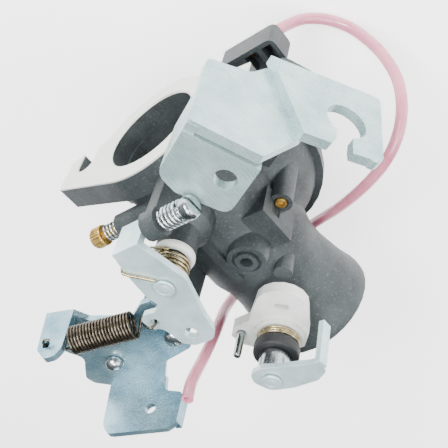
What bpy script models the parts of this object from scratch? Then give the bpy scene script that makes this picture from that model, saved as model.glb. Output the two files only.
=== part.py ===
"""Horizontal-draught float-bowl carburetor with its cable bracket, levers, springs and vent hose.

World axes: +X runs along the bore from the engine flange to the air horn, +Y points to the cable
bracket's side, +Z points up to the levers. The origin is the bore's centre on the engine flange.
All sizes are in metres.
"""
import math

import bmesh
import bpy
from mathutils import Matrix, Vector

# ---- clearances and general sizes ----------------------------------------------------------
GAP = 0.0003            # left between any two pieces that touch
OVER = 0.002            # how far a cutter runs past the wall it cuts
SEAM = 0.37             # part of a step by which every turned shape's first edge is turned

# ---- bore, flange and horn -----------------------------------------------------------------
FLANGE_T = 0.0083       # thickness of the engine flange
FLANGE_R = 0.022        # round part of the flange
EAR_END = 0.0368        # half-length of the flange over its ears
EAR_TOP = 0.0078        # upper edge of an ear's outer end
EAR_LOW = -0.0054       # lower edge of an ear's outer end
STUD_Y = 0.028          # half the distance between the stud slots
STUD_W = 0.0069         # width of a stud slot
SLOT_TOP = 0.0          # height of the centre of a slot's round end
MOUTH_R = 0.0153        # counterbore at the flange
MOUTH_DEEP = 0.0065     # depth of the counterbore
BORE_R = 0.0143         # throttle bore
VENTURI_R = 0.0105      # narrowest part of the bore
HORN_BORE_R = 0.014     # bore at the choke plate
TUBE_R = 0.0195         # outside of the throttle body
HORN_X = 0.0896         # end face of the air horn
HORN_R = 0.0212         # outside of the horn's rim
HORN_MOUTH_R = 0.0182   # opening of the horn

# ---- shafts and their levers ---------------------------------------------------------------
THROTTLE_X = 0.023      # throttle shaft's place along the bore
THROTTLE_SHAFT_R = 0.0038
THROTTLE_SHAFT_LOW = -0.016     # lower end of the throttle shaft
RETURN_COIL_R = THROTTLE_SHAFT_R + 0.0012    # middle of the return spring's wire
THROTTLE_TOWER_R = 0.006
THROTTLE_TOWER_TOP = 0.033
COLLAR_T = 0.0022
LEVER_TOP = 0.0459      # upper face of the throttle lever
LEVER_T = 0.002
CHOKE_X = 0.0732        # choke shaft's place along the bore
CHOKE_SHAFT_R = 0.0032
CHOKE_TOWER_TOP = 0.0213
CHOKE_LEVER_TOP = 0.0432
CHOKE_LEVER_T = 0.0018
CAM_T = 0.0038          # thickness of the nylon cam's plate
PLATE_T = 0.0012        # thickness of both butterfly plates
SHAFT_FLAT = 0.0009     # distance of a shaft's flat from its axis

# ---- float chamber -------------------------------------------------------------------------
BOWL_X = 0.0367         # centre of the float chamber along the bore
COVER_R = 0.0304        # rim of the float chamber's cover
COVER_TOP = -0.0186
COVER_LOW = -0.0225
GASKET_T = 0.0012
BOWL_R = 0.0255         # outside of the bowl's wall
BOWL_FLANGE_R = 0.0294
BOWL_WALL = 0.0012
BOWL_LOW = -0.047       # outside of the bowl's floor
PILLAR_R = 0.0056
JET_HOLE_R = 0.0026
FLOAT_PIN_X = 0.0175
FLOAT_PIN_Z = -0.0272
FLOAT_PIN_R = 0.00075
FLOAT_DROP = math.radians(6.0)   # how far the float hangs below its closed place
NEEDLE_ARM = 0.0075     # distance of the needle from the float's pin
NEEDLE_R = 0.0014
SEAT_TOP = -0.0178      # upper end of the needle's seat
SEAT_R = 0.003
PILOT_PLACE = (0.0393, 0.0218)
PILOT_R = 0.002
PLATE_SCREW_R = 0.0009

# ---- screws --------------------------------------------------------------------------------
IDLE_X = 0.0076         # axis of the idle stop screw
IDLE_Z = 0.0393
IDLE_TIP_Y = 0.0047
IDLE_HEAD_Y = 0.0185
IDLE_R = 0.002
MIX_X = 0.0152          # axis of the mixture screw
MIX_Z = 0.0196
MIX_FACE_Y = -0.0185    # end of the casting's boss that it screws into
MIX_HEAD_Y = -0.0256
MIX_R = 0.0016

# ---- cable bracket, in a frame turned about Z by BRACKET_TURN ------------------------------
BRACKET_TURN = math.radians(26.0)
SHEET = 0.003           # thickness of the bracket's sheet
TOP_Z = 0.0354          # upper face of the bracket's tab
WEB_IN = 0.0336         # inner face of the web
WEB_V = WEB_IN + SHEET  # outer face of the web
TAB_U0 = 0.0043         # left side of the bracket
TAB_U1 = 0.0261         # right side of the tab
TAB_V0 = 0.0135         # inner edge of the tab
TAB_HOLE = (0.02, 0.025, 0.00325)
KEYHOLE = (0.0449, 0.0082, 0.0062)
KEYHOLE_NECK = 0.005
BRACKET_SCREWS = ((0.0312, 0.0255), (0.0312, 0.0305))
BRACKET_SCREW_R = 0.0015
FOOT_LOW = -0.0005      # lower face of the bracket's foot

# ---- lever bracket -------------------------------------------------------------------------
ARM_TOP = 0.041         # upper face of the lever bracket
ARM_T = 0.002
ARM_LOW = ARM_TOP - ARM_T
RIVET_PLACE = (0.0462, -0.0430)
RIVET_R = 0.0018
ARM_SCREW_R = 0.0015
ARM_POSTS = ((0.0365, -0.0185), (0.0455, -0.0172))
POST_R = 0.0042
FLAP_FOOT = (0.0553, -0.054)
FLAP_TURN = math.atan2(0.959, 0.284)
TAB_FOOT = (0.0210, -0.0488)
TAB_TURN = math.radians(75.0)

# ---- extension spring and its two hook holes -----------------------------------------------
HOOK_A = (0.0332, -0.0127, 0.0449)     # in the throttle lever
HOOK_B = (0.0222, -0.0442, 0.0522)     # in the lever bracket's tab
HOOK_R = 0.0013

# ---- vent hose -----------------------------------------------------------------------------
HOSE_R = 0.0019
NIPPLE_R = 0.0012
HOSE_START = (0.0087, 0.0312, -0.0352)
HOSE_ROUTE = (
    (0.0097, 0.0328, -0.0395), (0.0120, 0.0358, -0.0452), (0.0152, 0.0398, -0.0500),
    (0.0200, 0.0447, -0.0522), (0.0258, 0.0503, -0.0505), (0.0310, 0.0548, -0.0452),
    (0.0352, 0.0582, -0.0385), (0.0400, 0.0604, -0.0294), (0.0448, 0.0592, -0.0203),
    (0.0498, 0.0545, -0.0140), (0.0550, 0.0466, -0.0117), (0.0612, 0.0352, -0.0135),
    (0.0680, 0.0222, -0.0185), (0.0740, 0.0085, -0.0240), (0.0785, -0.0062, -0.0262),
    (0.0804, -0.0185, -0.0215), (0.0785, -0.0262, -0.0105), (0.0738, -0.0270, 0.0025),
    (0.0695, -0.0242, 0.0135), (0.0662, -0.0222, 0.0240), (0.0635, -0.0216, 0.0345),
    (0.0611, -0.0219, 0.0453), (0.0605, -0.0212, 0.0525))


# ============================================================================================
# Small building blocks
# ============================================================================================
def make_material(name, colour, roughness, metallic):
    """A Principled material with one colour."""
    material = bpy.data.materials.new(name)
    material.use_nodes = True
    shader = material.node_tree.nodes["Principled BSDF"]
    shader.inputs["Base Color"].default_value = (*colour, 1.0)
    shader.inputs["Roughness"].default_value = roughness
    shader.inputs["Metallic"].default_value = metallic
    return material


FINISHES = {
    "casting": ((0.11, 0.125, 0.13), 0.55, 0.6),
    "zinc_plate": ((0.55, 0.63, 0.64), 0.32, 0.9),
    "steel": ((0.5, 0.52, 0.53), 0.3, 1.0),
    "spring_wire": ((0.24, 0.22, 0.18), 0.3, 1.0),
    "brass": ((0.56, 0.38, 0.12), 0.3, 1.0),
    "nylon": ((0.74, 0.76, 0.73), 0.5, 0.0),
    "rubber": ((0.03, 0.03, 0.032), 0.7, 0.0),
    "hose": ((0.75, 0.38, 0.42), 0.25, 0.0),
    "float_foam": ((0.10, 0.10, 0.09), 0.6, 0.0),
}


def new_object(name, mesh_builder, finish, location=(0, 0, 0), rotation=(0, 0, 0)):
    """Wraps a bmesh in a named object with its own material."""
    mesh = bpy.data.meshes.new(name)
    bmesh.ops.recalc_face_normals(mesh_builder, faces=mesh_builder.faces)
    mesh_builder.to_mesh(mesh)
    mesh_builder.free()
    mesh.shade_smooth()
    mesh.set_sharp_from_angle(angle=math.radians(35.0))
    body = bpy.data.objects.new(name, mesh)
    bpy.context.scene.collection.objects.link(body)
    body.location = location
    body.rotation_euler = rotation
    if finish is not None:
        colour, roughness, metallic = FINISHES[finish]
        mesh.materials.append(make_material(name, colour, roughness, metallic))
    return body


def turned(profile, segments, ring=False):
    """Turns (radius, height) points about Z. A ring's profile closes on itself off the axis."""
    bm = bmesh.new()
    rows = []
    for radius, height in profile:
        if radius < 1e-9:
            rows.append([bm.verts.new((0.0, 0.0, height))])
            continue
        row = []
        for k in range(segments):
            angle = 2.0 * math.pi * (k + SEAM) / segments
            row.append(bm.verts.new((radius * math.cos(angle), radius * math.sin(angle), height)))
        rows.append(row)
    pairs = list(zip(rows, rows[1:]))
    if ring:
        pairs.append((rows[-1], rows[0]))
    for low, high in pairs:
        join_rows(bm, low, high, segments)
    return bm


def join_rows(bm, low, high, segments):
    """Skins two rings of points, or a ring and a single pole."""
    for k in range(segments):
        j = (k + 1) % segments
        if len(low) == 1 and len(high) == 1:
            return
        if len(low) == 1:
            bm.faces.new((low[0], high[j], high[k]))
        elif len(high) == 1:
            bm.faces.new((low[k], low[j], high[0]))
        else:
            bm.faces.new((low[k], low[j], high[j], high[k]))


def rod(radius, low, high, segments=20, chamfer=0.0):
    """A round bar along Z between two heights, with optional chamfers on both ends."""
    if chamfer > 0.0:
        profile = [(0, low), (radius - chamfer, low), (radius, low + chamfer)]
        profile += [(radius, high - chamfer), (radius - chamfer, high), (0, high)]
    else:
        profile = [(0, low), (radius, low), (radius, high), (0, high)]
    return turned(profile, segments)


def tube(inner, outer, low, high, segments=24):
    """A plain ring along Z."""
    profile = [(inner, low), (outer, low), (outer, high), (inner, high)]
    return turned(profile, segments, ring=True)


def rounded(points, radii, steps=4):
    """Rounds the corners of a closed outline, each with its own radius."""
    result = []
    count = len(points)
    for k, corner in enumerate(points):
        radius = radii[k]
        here = Vector(corner)
        back = (Vector(points[k - 1]) - here)
        ahead = (Vector(points[(k + 1) % count]) - here)
        if radius <= 0.0:
            result.append((here.x, here.y))
            continue
        half = back.angle(ahead) / 2.0
        reach = min(radius / math.tan(half), 0.48 * back.length, 0.48 * ahead.length)
        start = here + back.normalized() * reach
        end = here + ahead.normalized() * reach
        for s in range(steps + 1):
            t = s / steps
            point = start * (1 - t) ** 2 + here * 2 * t * (1 - t) + end * t ** 2
            result.append((point.x, point.y))
    return result


def plate(outline, low, high):
    """A flat plate along Z with the given outline."""
    bm = bmesh.new()
    bottom = [bm.verts.new((x, y, low)) for x, y in outline]
    top = [bm.verts.new((x, y, high)) for x, y in outline]
    bm.faces.new(bottom[::-1])
    bm.faces.new(top)
    count = len(outline)
    for k in range(count):
        j = (k + 1) % count
        bm.faces.new((bottom[k], bottom[j], top[j], top[k]))
    return bm


def block(x0, x1, y0, y1, z0, z1):
    """A rectangular block between two corners."""
    return plate([(x0, y0), (x1, y0), (x1, y1), (x0, y1)], z0, z1)


def sweep(path, radius, sides=6):
    """A round wire along a line of points, closed at both ends."""
    bm = bmesh.new()
    points = [Vector(p) for p in path]
    rings = []
    normal = None
    for k, point in enumerate(points):
        ahead = points[min(k + 1, len(points) - 1)]
        behind = points[max(k - 1, 0)]
        tangent = (ahead - behind).normalized()
        if normal is None:
            normal = tangent.orthogonal().normalized()
        normal = (normal - tangent * normal.dot(tangent)).normalized()
        side = tangent.cross(normal)
        ring = []
        for s in range(sides):
            angle = 2.0 * math.pi * s / sides
            ring.append(bm.verts.new(point + radius * (normal * math.cos(angle) + side * math.sin(angle))))
        rings.append(ring)
    for low, high in zip(rings, rings[1:]):
        join_rows(bm, low, high, sides)
    bm.faces.new(rings[0][::-1])
    bm.faces.new(rings[-1])
    return bm


def coil(radius, turns, low, high, start=0.0, per_turn=12):
    """Points of a coil about Z from one height to another."""
    count = int(round(abs(turns) * per_turn))
    points = []
    for k in range(count + 1):
        t = k / count
        angle = start + 2.0 * math.pi * turns * t
        points.append((radius * math.cos(angle), radius * math.sin(angle), low + (high - low) * t))
    return points


def modify(target, tool, operation):
    """Adds a Boolean to the target and hides the tool."""
    modifier = target.modifiers.new(tool.name, "BOOLEAN")
    modifier.operation = operation
    modifier.solver = "EXACT"
    modifier.object = tool
    tool.hide_render = True
    tool.display_type = "WIRE"


def join(target, name, mesh_builder, location=(0, 0, 0), rotation=(0, 0, 0)):
    """Joins a shape to the target."""
    modify(target, new_object(name, mesh_builder, None, location, rotation), "UNION")


def cut(target, name, mesh_builder, location=(0, 0, 0), rotation=(0, 0, 0)):
    """Cuts a shape out of the target."""
    modify(target, new_object(name, mesh_builder, None, location, rotation), "DIFFERENCE")


ALONG_X = (0.0, math.radians(90.0), 0.0)      # turns local Z to world X
ALONG_Y = (math.radians(-90.0), 0.0, 0.0)     # turns local Z to world Y


# ============================================================================================
# Casting
# ============================================================================================
def flange_outline():
    """Outline of the engine flange as (Y, Z), with both stud slots open downwards."""
    half = STUD_W / 2.0
    right = [(EAR_END, EAR_LOW), (EAR_END, EAR_TOP)]
    outline = list(right)
    for k in range(13):
        angle = math.radians(66.0) + math.radians(48.0) * k / 12
        outline.append((FLANGE_R * math.cos(angle), FLANGE_R * math.sin(angle)))
    outline += [(-EAR_END, EAR_TOP), (-EAR_END, EAR_LOW)]
    outline += slot_edge(-1.0, half)
    for k in range(15):
        angle = math.radians(180.0 + 22.0) + math.radians(136.0) * k / 14
        outline.append((FLANGE_R * math.cos(angle), FLANGE_R * math.sin(angle)))
    outline += slot_edge(1.0, half)[::-1]
    return outline


def slot_edge(side, half):
    """The edge of one stud slot, from the ear's hook round to the ring, for the given side."""
    edge = [(side * (STUD_Y + half), EAR_LOW - 0.0014)]
    for k in range(9):
        angle = math.pi * k / 8
        y = STUD_Y + half * math.cos(angle)
        edge.append((side * y, SLOT_TOP + half * math.sin(angle)))
    edge.append((side * (STUD_Y - half), -0.0068))
    return edge


def make_casting():
    """The die-cast body: flange, tube, horn, towers, cover, posts and bosses."""
    flange = plate(flange_outline(), 0.0, FLANGE_T)
    bmesh.ops.transform(flange, matrix=Matrix(((0, 0, 1, 0), (1, 0, 0, 0), (0, 1, 0, 0), (0, 0, 0, 1))),
                        verts=flange.verts)
    body = new_object("body_casting", flange, "casting")
    outside = [(0, 0.003), (0.0205, 0.003), (0.0205, 0.0115), (TUBE_R, 0.0130), (TUBE_R, 0.055)]
    outside += [(0.0180, 0.0615), (0.0180, 0.0680), (0.0197, 0.0800), (HORN_R, 0.0858)]
    outside += [(HORN_R, HORN_X - 0.0008), (HORN_R - 0.0008, HORN_X), (0, HORN_X)]
    join(body, "shape_tube", turned(outside, 32), rotation=ALONG_X)
    add_towers(body)
    add_cover(body)
    add_bosses(body)
    add_lugs(body)
    cut_bore(body)
    cut_shaft_holes(body)
    cut_chamber_holes(body)
    return body


def add_towers(body):
    """Round towers over the bore that carry the two shafts."""
    join(body, "shape_throttle_tower", rod(THROTTLE_TOWER_R, 0.010, THROTTLE_TOWER_TOP, 18),
         (THROTTLE_X, 0, 0))
    foot = turned([(0, 0.012), (0.0095, 0.012), (0.0088, 0.0225), (0.0052, 0.0262), (0, 0.0262)], 24)
    join(body, "shape_throttle_foot", foot, (THROTTLE_X, 0, 0))
    join(body, "shape_choke_tower", rod(0.0065, 0.010, CHOKE_TOWER_TOP, 18), (CHOKE_X, 0, 0))
    join(body, "shape_throttle_end", rod(0.0062, THROTTLE_SHAFT_LOW - 0.0045, -0.010, 18), (THROTTLE_X, 0, 0))
    join(body, "shape_choke_end", rod(0.0058, -0.0215, -0.010, 18), (CHOKE_X, 0, 0))


def add_cover(body):
    """The domed cover of the float chamber with the pillar that holds the jets."""
    dome = [(0, 0.004), (0.0175, 0.002), (0.0235, -0.0055), (0.0268, -0.0125), (0.0282, COVER_TOP)]
    dome += [(COVER_R, COVER_TOP), (COVER_R, COVER_LOW), (0, COVER_LOW)]
    join(body, "shape_cover", turned(dome[::-1], 32), (BOWL_X, 0, 0))
    join(body, "shape_pillar", rod(PILLAR_R, BOWL_LOW + BOWL_WALL + 0.0012, COVER_LOW + 0.002, 14),
         (BOWL_X, 0, 0))
    for side, name in ((1, "shape_pin_post_a"), (-1, "shape_pin_post_b")):
        y = side * 0.0083
        post = block(FLOAT_PIN_X - 0.0018, FLOAT_PIN_X + 0.0018, y - 0.0012, y + 0.0012,
                     FLOAT_PIN_Z - 0.0018, COVER_LOW + 0.001)
        join(body, name, post)


def add_bosses(body):
    """Ringed boss, jet boss, idle screw's lug, mixture screw's boss and the stiffening ribs."""
    ringed = [(0, 0.008), (0.0072, 0.008), (0.0066, 0.0196), (0.0062, 0.0212), (0.0046, 0.0212)]
    ringed += [(0.0042, 0.0204), (0.0036, 0.0204), (0.0036, 0.0218), (0, 0.0218)]
    join(body, "shape_ringed_boss", turned(ringed, 22), (0.0443, 0.0076, 0))
    join(body, "shape_jet_boss", rod(0.0036, -0.016, 0.0072, 14), (*PILOT_PLACE, 0))
    join(body, "shape_flat_boss", block(0.0335, 0.0480, 0.0100, 0.0205, 0.004, 0.0152))
    join(body, "shape_column", rod(0.0030, 0.0, 0.0185, 12), (0.0560, 0.0125, 0))
    join(body, "shape_web", block(0.0275, 0.0505, -0.0016, 0.0016, 0.010, 0.0209))
    join(body, "shape_idle_lug", rod(0.0042, 0.0056, 0.0106, 14), (IDLE_X, 0, IDLE_Z), ALONG_Y)
    stem = plate(rounded([(0.0043, 0.0060), (0.0119, 0.0060), (0.0119, 0.0102), (0.0043, 0.0102)],
                         [0.001] * 4, 2), 0.014, IDLE_Z)
    join(body, "shape_idle_stem", stem)
    join(body, "shape_mixture_boss", rod(0.0040, MIX_FACE_Y, -0.001, 14), (MIX_X, 0, MIX_Z), ALONG_Y)


def add_lugs(body):
    """Lug under the cable bracket, posts under the lever bracket, and the hose block."""
    side = WEB_IN - GAP - 0.0001
    lug = plate(rounded([(0.0245, 0.006), (0.0375, 0.006), (0.0375, side), (0.0245, side)],
                        [0.0, 0.0, 0.003, 0.003], 4), -0.0165, FOOT_LOW - GAP)
    join(body, "shape_bracket_lug", lug, rotation=(0, 0, BRACKET_TURN))
    for (x, y), name in zip(ARM_POSTS, ("shape_arm_post_a", "shape_arm_post_b")):
        post = turned([(0, -0.018), (0.0056, -0.018), (POST_R + 0.0006, 0.012), (POST_R, ARM_LOW - GAP),
                       (0, ARM_LOW - GAP)], 20)
        join(body, name, post, (x, y, 0))
    tie = block(0.0365, 0.0455, -0.0196, -0.0164, 0.008, 0.034)
    join(body, "shape_post_tie", tie)
    hose_block = plate(rounded([(0.0030, 0.0195), (0.0128, 0.0195), (0.0128, 0.0395), (0.0030, 0.0395)],
                               [0.001, 0.001, 0.0025, 0.0025], 3), -0.0300, -0.0205)
    join(body, "shape_hose_block", hose_block)
    join(body, "shape_hose_arm", block(0.0055, 0.0243, 0.0142, 0.0271, -0.0222, -0.0192))
    cut(body, "pocket_a", block(0.0045, 0.0112, 0.0285, 0.0330, -0.0262, -0.0180))
    cut(body, "pocket_b", block(0.0045, 0.0112, 0.0347, 0.0380, -0.0262, -0.0180))


def cut_bore(body):
    """The through bore: counterbore, throttle bore, venturi, choke bore and horn mouth."""
    inside = [(0, -OVER), (MOUTH_R + 0.0006 + OVER, -OVER), (MOUTH_R, 0.0006), (MOUTH_R, MOUTH_DEEP)]
    inside += [(BORE_R, MOUTH_DEEP), (BORE_R, 0.030), (0.0120, 0.0345), (VENTURI_R, 0.038)]
    inside += [(VENTURI_R, 0.044), (0.0122, 0.053), (HORN_BORE_R, 0.0600), (HORN_BORE_R, 0.0815)]
    inside += [(0.0152, 0.0858), (HORN_MOUTH_R, HORN_X), (HORN_MOUTH_R + OVER, HORN_X + OVER)]
    inside += [(0, HORN_X + OVER)]
    cut(body, "bore", turned(inside, 32), rotation=ALONG_X)


def cut_shaft_holes(body):
    """Holes for the two shafts, the idle stop screw and the mixture screw."""
    shaft_room = rod(THROTTLE_SHAFT_R + GAP, THROTTLE_SHAFT_LOW - GAP, 0.040, 14)
    cut(body, "throttle_hole", shaft_room, (THROTTLE_X, 0, 0))
    cut(body, "choke_hole", rod(CHOKE_SHAFT_R + GAP, -0.0185, 0.030, 14), (CHOKE_X, 0, 0))
    cut(body, "idle_hole", rod(IDLE_R + GAP, 0.001, 0.015, 12), (IDLE_X, 0, IDLE_Z), ALONG_Y)
    cut(body, "mixture_hole", rod(MIX_R + GAP, MIX_FACE_Y - OVER, -0.006, 12), (MIX_X, 0, MIX_Z), ALONG_Y)
    cut(body, "ringed_hole", rod(0.0020, 0.0135, 0.030, 12), (0.0443, 0.0076, 0))


def cut_chamber_holes(body):
    """Holes for the jets, the needle seat, the float pin, the bracket screws and the nipple."""
    cut(body, "jet_hole", rod(JET_HOLE_R + GAP, BOWL_LOW, -0.006, 13), (BOWL_X, 0, 0))
    cut(body, "pilot_hole", rod(PILOT_R + GAP, 0.0010 - 0.0005, 0.012, 12), (*PILOT_PLACE, 0))
    seat_room = rod(SEAT_R + GAP, COVER_LOW - OVER, SEAT_TOP + GAP, 13)
    cut(body, "seat_hole", seat_room, (FLOAT_PIN_X + NEEDLE_ARM, 0, 0))
    cut(body, "pin_hole", rod(FLOAT_PIN_R + GAP, -0.011, 0.011, 12), (FLOAT_PIN_X, 0, FLOAT_PIN_Z), ALONG_Y)
    for (u, v), name in zip(BRACKET_SCREWS, ("bracket_tap_a", "bracket_tap_b")):
        place = turn_point(u, v)
        cut(body, name, rod(BRACKET_SCREW_R + GAP, -0.0105, 0.002, 10), (place[0], place[1], 0))
    for (x, y), name in zip(ARM_POSTS, ("arm_tap_a", "arm_tap_b")):
        cut(body, name, rod(ARM_SCREW_R + GAP, 0.0285, 0.042, 10), (x, y, 0))
    cut(body, "nipple_hole", rod(NIPPLE_R + GAP, -0.004, 0.0062, 10), nipple_place(), nipple_turn())


def turn_point(u, v):
    """World X and Y of a point given in the cable bracket's own frame."""
    c = math.cos(BRACKET_TURN)
    s = math.sin(BRACKET_TURN)
    return (u * c - v * s, u * s + v * c)


# ============================================================================================
# Hose and nipple
# ============================================================================================
def hose_direction():
    """Direction in which the hose leaves its nipple."""
    return (Vector(HOSE_ROUTE[0]) - Vector(HOSE_START)).normalized()


def nipple_place():
    """Centre of the nipple's foot, on the underside of the hose block."""
    return Vector(HOSE_START) - hose_direction() * 0.0059


def nipple_turn():
    """Rotation that turns local Z against the hose's direction, into the block."""
    return (-hose_direction()).to_track_quat("Z", "Y").to_euler()


def make_nipple():
    """A barbed brass nipple that stands out of the hose block."""
    profile = [(0.0006, 0.0045), (NIPPLE_R, 0.0045), (NIPPLE_R, -0.0014), (0.0016, -0.0020)]
    profile.append((0.0016, -0.0034))
    profile += [(0.0018, -0.0037), (0.0013, -0.0056), (0.0006, -0.0056)]
    new_object("hose_nipple", turned(profile, 12, ring=True), "brass", nipple_place(), nipple_turn())


def smooth_route(points, spacing):
    """Evenly spaced points on a Catmull-Rom curve through the given points."""
    pts = [Vector(p) for p in points]
    ends = [pts[0] * 2 - pts[1]] + pts + [pts[-1] * 2 - pts[-2]]
    fine = []
    for k in range(1, len(ends) - 2):
        for s in range(20):
            fine.append(spline_point(ends[k - 1:k + 3], s / 20.0))
    fine.append(pts[-1])
    return walk(fine, spacing)


def spline_point(four, t):
    """One point of a Catmull-Rom span between the middle two of four points."""
    p0, p1, p2, p3 = four
    part = 2.0 * p1 + (p2 - p0) * t
    part += (2.0 * p0 - 5.0 * p1 + 4.0 * p2 - p3) * t ** 2
    part += (3.0 * p1 - p0 - 3.0 * p2 + p3) * t ** 3
    return part * 0.5


def walk(line, spacing):
    """Points at an even spacing along a fine line, with both its ends."""
    total = sum((b - a).length for a, b in zip(line, line[1:]))
    count = max(2, int(round(total / spacing)))
    step = total / count
    result = [line[0]]
    travelled = 0.0
    for a, b in zip(line, line[1:]):
        span = (b - a).length
        while len(result) < count and travelled + span >= step * len(result):
            t = (step * len(result) - travelled) / span
            result.append(a.lerp(b, t))
        travelled += span
    result.append(line[-1])
    return result


def make_hose():
    """The soft vent hose: a plain round tube along its free route to its open end."""
    start = Vector(HOSE_START) + hose_direction() * GAP
    points = smooth_route([start] + list(HOSE_ROUTE), HOSE_R * 4.4)
    curve = bpy.data.curves.new("vent_hose", "CURVE")
    curve.dimensions = "3D"
    curve.bevel_depth = HOSE_R
    curve.bevel_resolution = 2
    curve.use_fill_caps = True
    spline = curve.splines.new("POLY")
    spline.points.add(len(points) - 1)
    for slot, point in zip(spline.points, points):
        slot.co = (point.x, point.y, point.z, 1.0)
    colour, roughness, metallic = FINISHES["hose"]
    curve.materials.append(make_material("vent_hose", colour, roughness, metallic))
    hose = bpy.data.objects.new("vent_hose", curve)
    bpy.context.scene.collection.objects.link(hose)
    return hose


# ============================================================================================
# Float chamber
# ============================================================================================
def make_bowl():
    """Bowl, gasket, bowl bolt and drain screw."""
    top = COVER_LOW - GAP
    gasket = new_object("bowl_gasket", tube(BOWL_R - BOWL_WALL, BOWL_FLANGE_R, top - GASKET_T, top, 28),
                        "rubber", (BOWL_X, 0, 0))
    lip = top - GASKET_T - GAP
    inner = BOWL_R - BOWL_WALL
    cup = [(0.0034, BOWL_LOW), (BOWL_R - 0.004, BOWL_LOW), (BOWL_R - 0.0012, BOWL_LOW + 0.0012)]
    cup += [(BOWL_R, BOWL_LOW + 0.004), (BOWL_R, lip - 0.0016), (BOWL_FLANGE_R, lip - 0.0016)]
    cup += [(BOWL_FLANGE_R, lip), (inner, lip), (inner, BOWL_LOW + 0.0045)]
    cup += [(inner - 0.0032, BOWL_LOW + BOWL_WALL), (0.0034, BOWL_LOW + BOWL_WALL)]
    bowl = new_object("float_bowl", turned(cup, 32, ring=True), "zinc_plate", (BOWL_X, 0, 0))
    cut(bowl, "drain_hole", rod(0.0020 + GAP, -0.040, -0.020, 12), (BOWL_X, 0, -0.0400), ALONG_Y)
    bolt = new_object("bowl_bolt", bolt_mesh(0.0055, 0.0036, 0.0023, 0.0068, 0.0068, 0.0012), "steel",
                      (BOWL_X, 0, BOWL_LOW - GAP))
    drain = new_object("drain_screw", bolt_mesh(0.0036, 0.0026, 0.0019, 0.0026, 0.0045, 0.0008), "brass",
                       (BOWL_X, -BOWL_R - GAP, -0.0400), (math.radians(-90.0), 0, 0))
    return gasket, bowl, bolt, drain


def bolt_mesh(head_r, head_t, shank_r, shank_len, washer_r, washer_t):
    """A hexagon-headed bolt: its washer's face is at height 0 and its shank points up +Z."""
    bm = bmesh.new()
    rows = []
    steps = 18
    for radius, height, hexagon in ((head_r, -head_t - washer_t, True), (head_r, -washer_t, True),
                                    (washer_r, -washer_t, False), (washer_r, 0.0, False),
                                    (shank_r, 0.0, False), (shank_r, shank_len - 0.0005, False),
                                    (shank_r - 0.0005, shank_len, False)):
        rows.append(hex_row(bm, radius, height, hexagon, steps))
    for low, high in zip(rows, rows[1:]):
        join_rows(bm, low, high, steps)
    bm.faces.new(rows[0][::-1])
    bm.faces.new(rows[-1])
    return bm


def hex_row(bm, radius, height, hexagon, steps):
    """A ring of points, on a circle or on a hexagon of the given corner radius."""
    row = []
    for k in range(steps):
        angle = 2.0 * math.pi * k / steps
        reach = radius
        if hexagon:
            inside = (angle % (math.pi / 3.0)) - math.pi / 6.0
            reach = radius * math.cos(math.pi / 6.0) / math.cos(inside)
        row.append(bm.verts.new((reach * math.cos(angle), reach * math.sin(angle), height)))
    return row


def make_jets():
    """Main jet, emulsion tube, pilot jet and needle seat, all turned from brass."""
    main = [(0.0006, -0.0345), (JET_HOLE_R, -0.0345), (JET_HOLE_R, -0.0315), (0.0006, -0.0315)]
    new_object("main_jet", turned(main, 12, ring=True), "brass", (BOWL_X, 0, 0))
    emulsion = [(0.0010, -0.0312), (JET_HOLE_R, -0.0312), (JET_HOLE_R, -0.0285), (0.0019, -0.0280)]
    emulsion += [(0.0019, -0.0160), (JET_HOLE_R, -0.0155), (JET_HOLE_R, -0.0090), (0.0010, -0.0090)]
    new_object("emulsion_tube", turned(emulsion, 12, ring=True), "brass", (BOWL_X, 0, 0))
    pilot = [(0, 0.0010), (PILOT_R, 0.0010), (PILOT_R, 0.0072), (0.0017, 0.0078), (0.0009, 0.0078)]
    pilot += [(0.0009, 0.0066), (0, 0.0066)]
    new_object("pilot_jet", turned(pilot, 13), "brass", (*PILOT_PLACE, 0))
    seat_low = COVER_LOW - 0.0012
    room = NEEDLE_R + 0.0004
    seat = [(0.0008, SEAT_TOP - 0.0020), (room, SEAT_TOP - 0.0028), (room, seat_low)]
    seat += [(SEAT_R, seat_low), (SEAT_R, SEAT_TOP), (0.0008, SEAT_TOP)]
    new_object("needle_seat", turned(seat, 13, ring=True), "brass", (FLOAT_PIN_X + NEEDLE_ARM, 0, 0))


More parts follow.
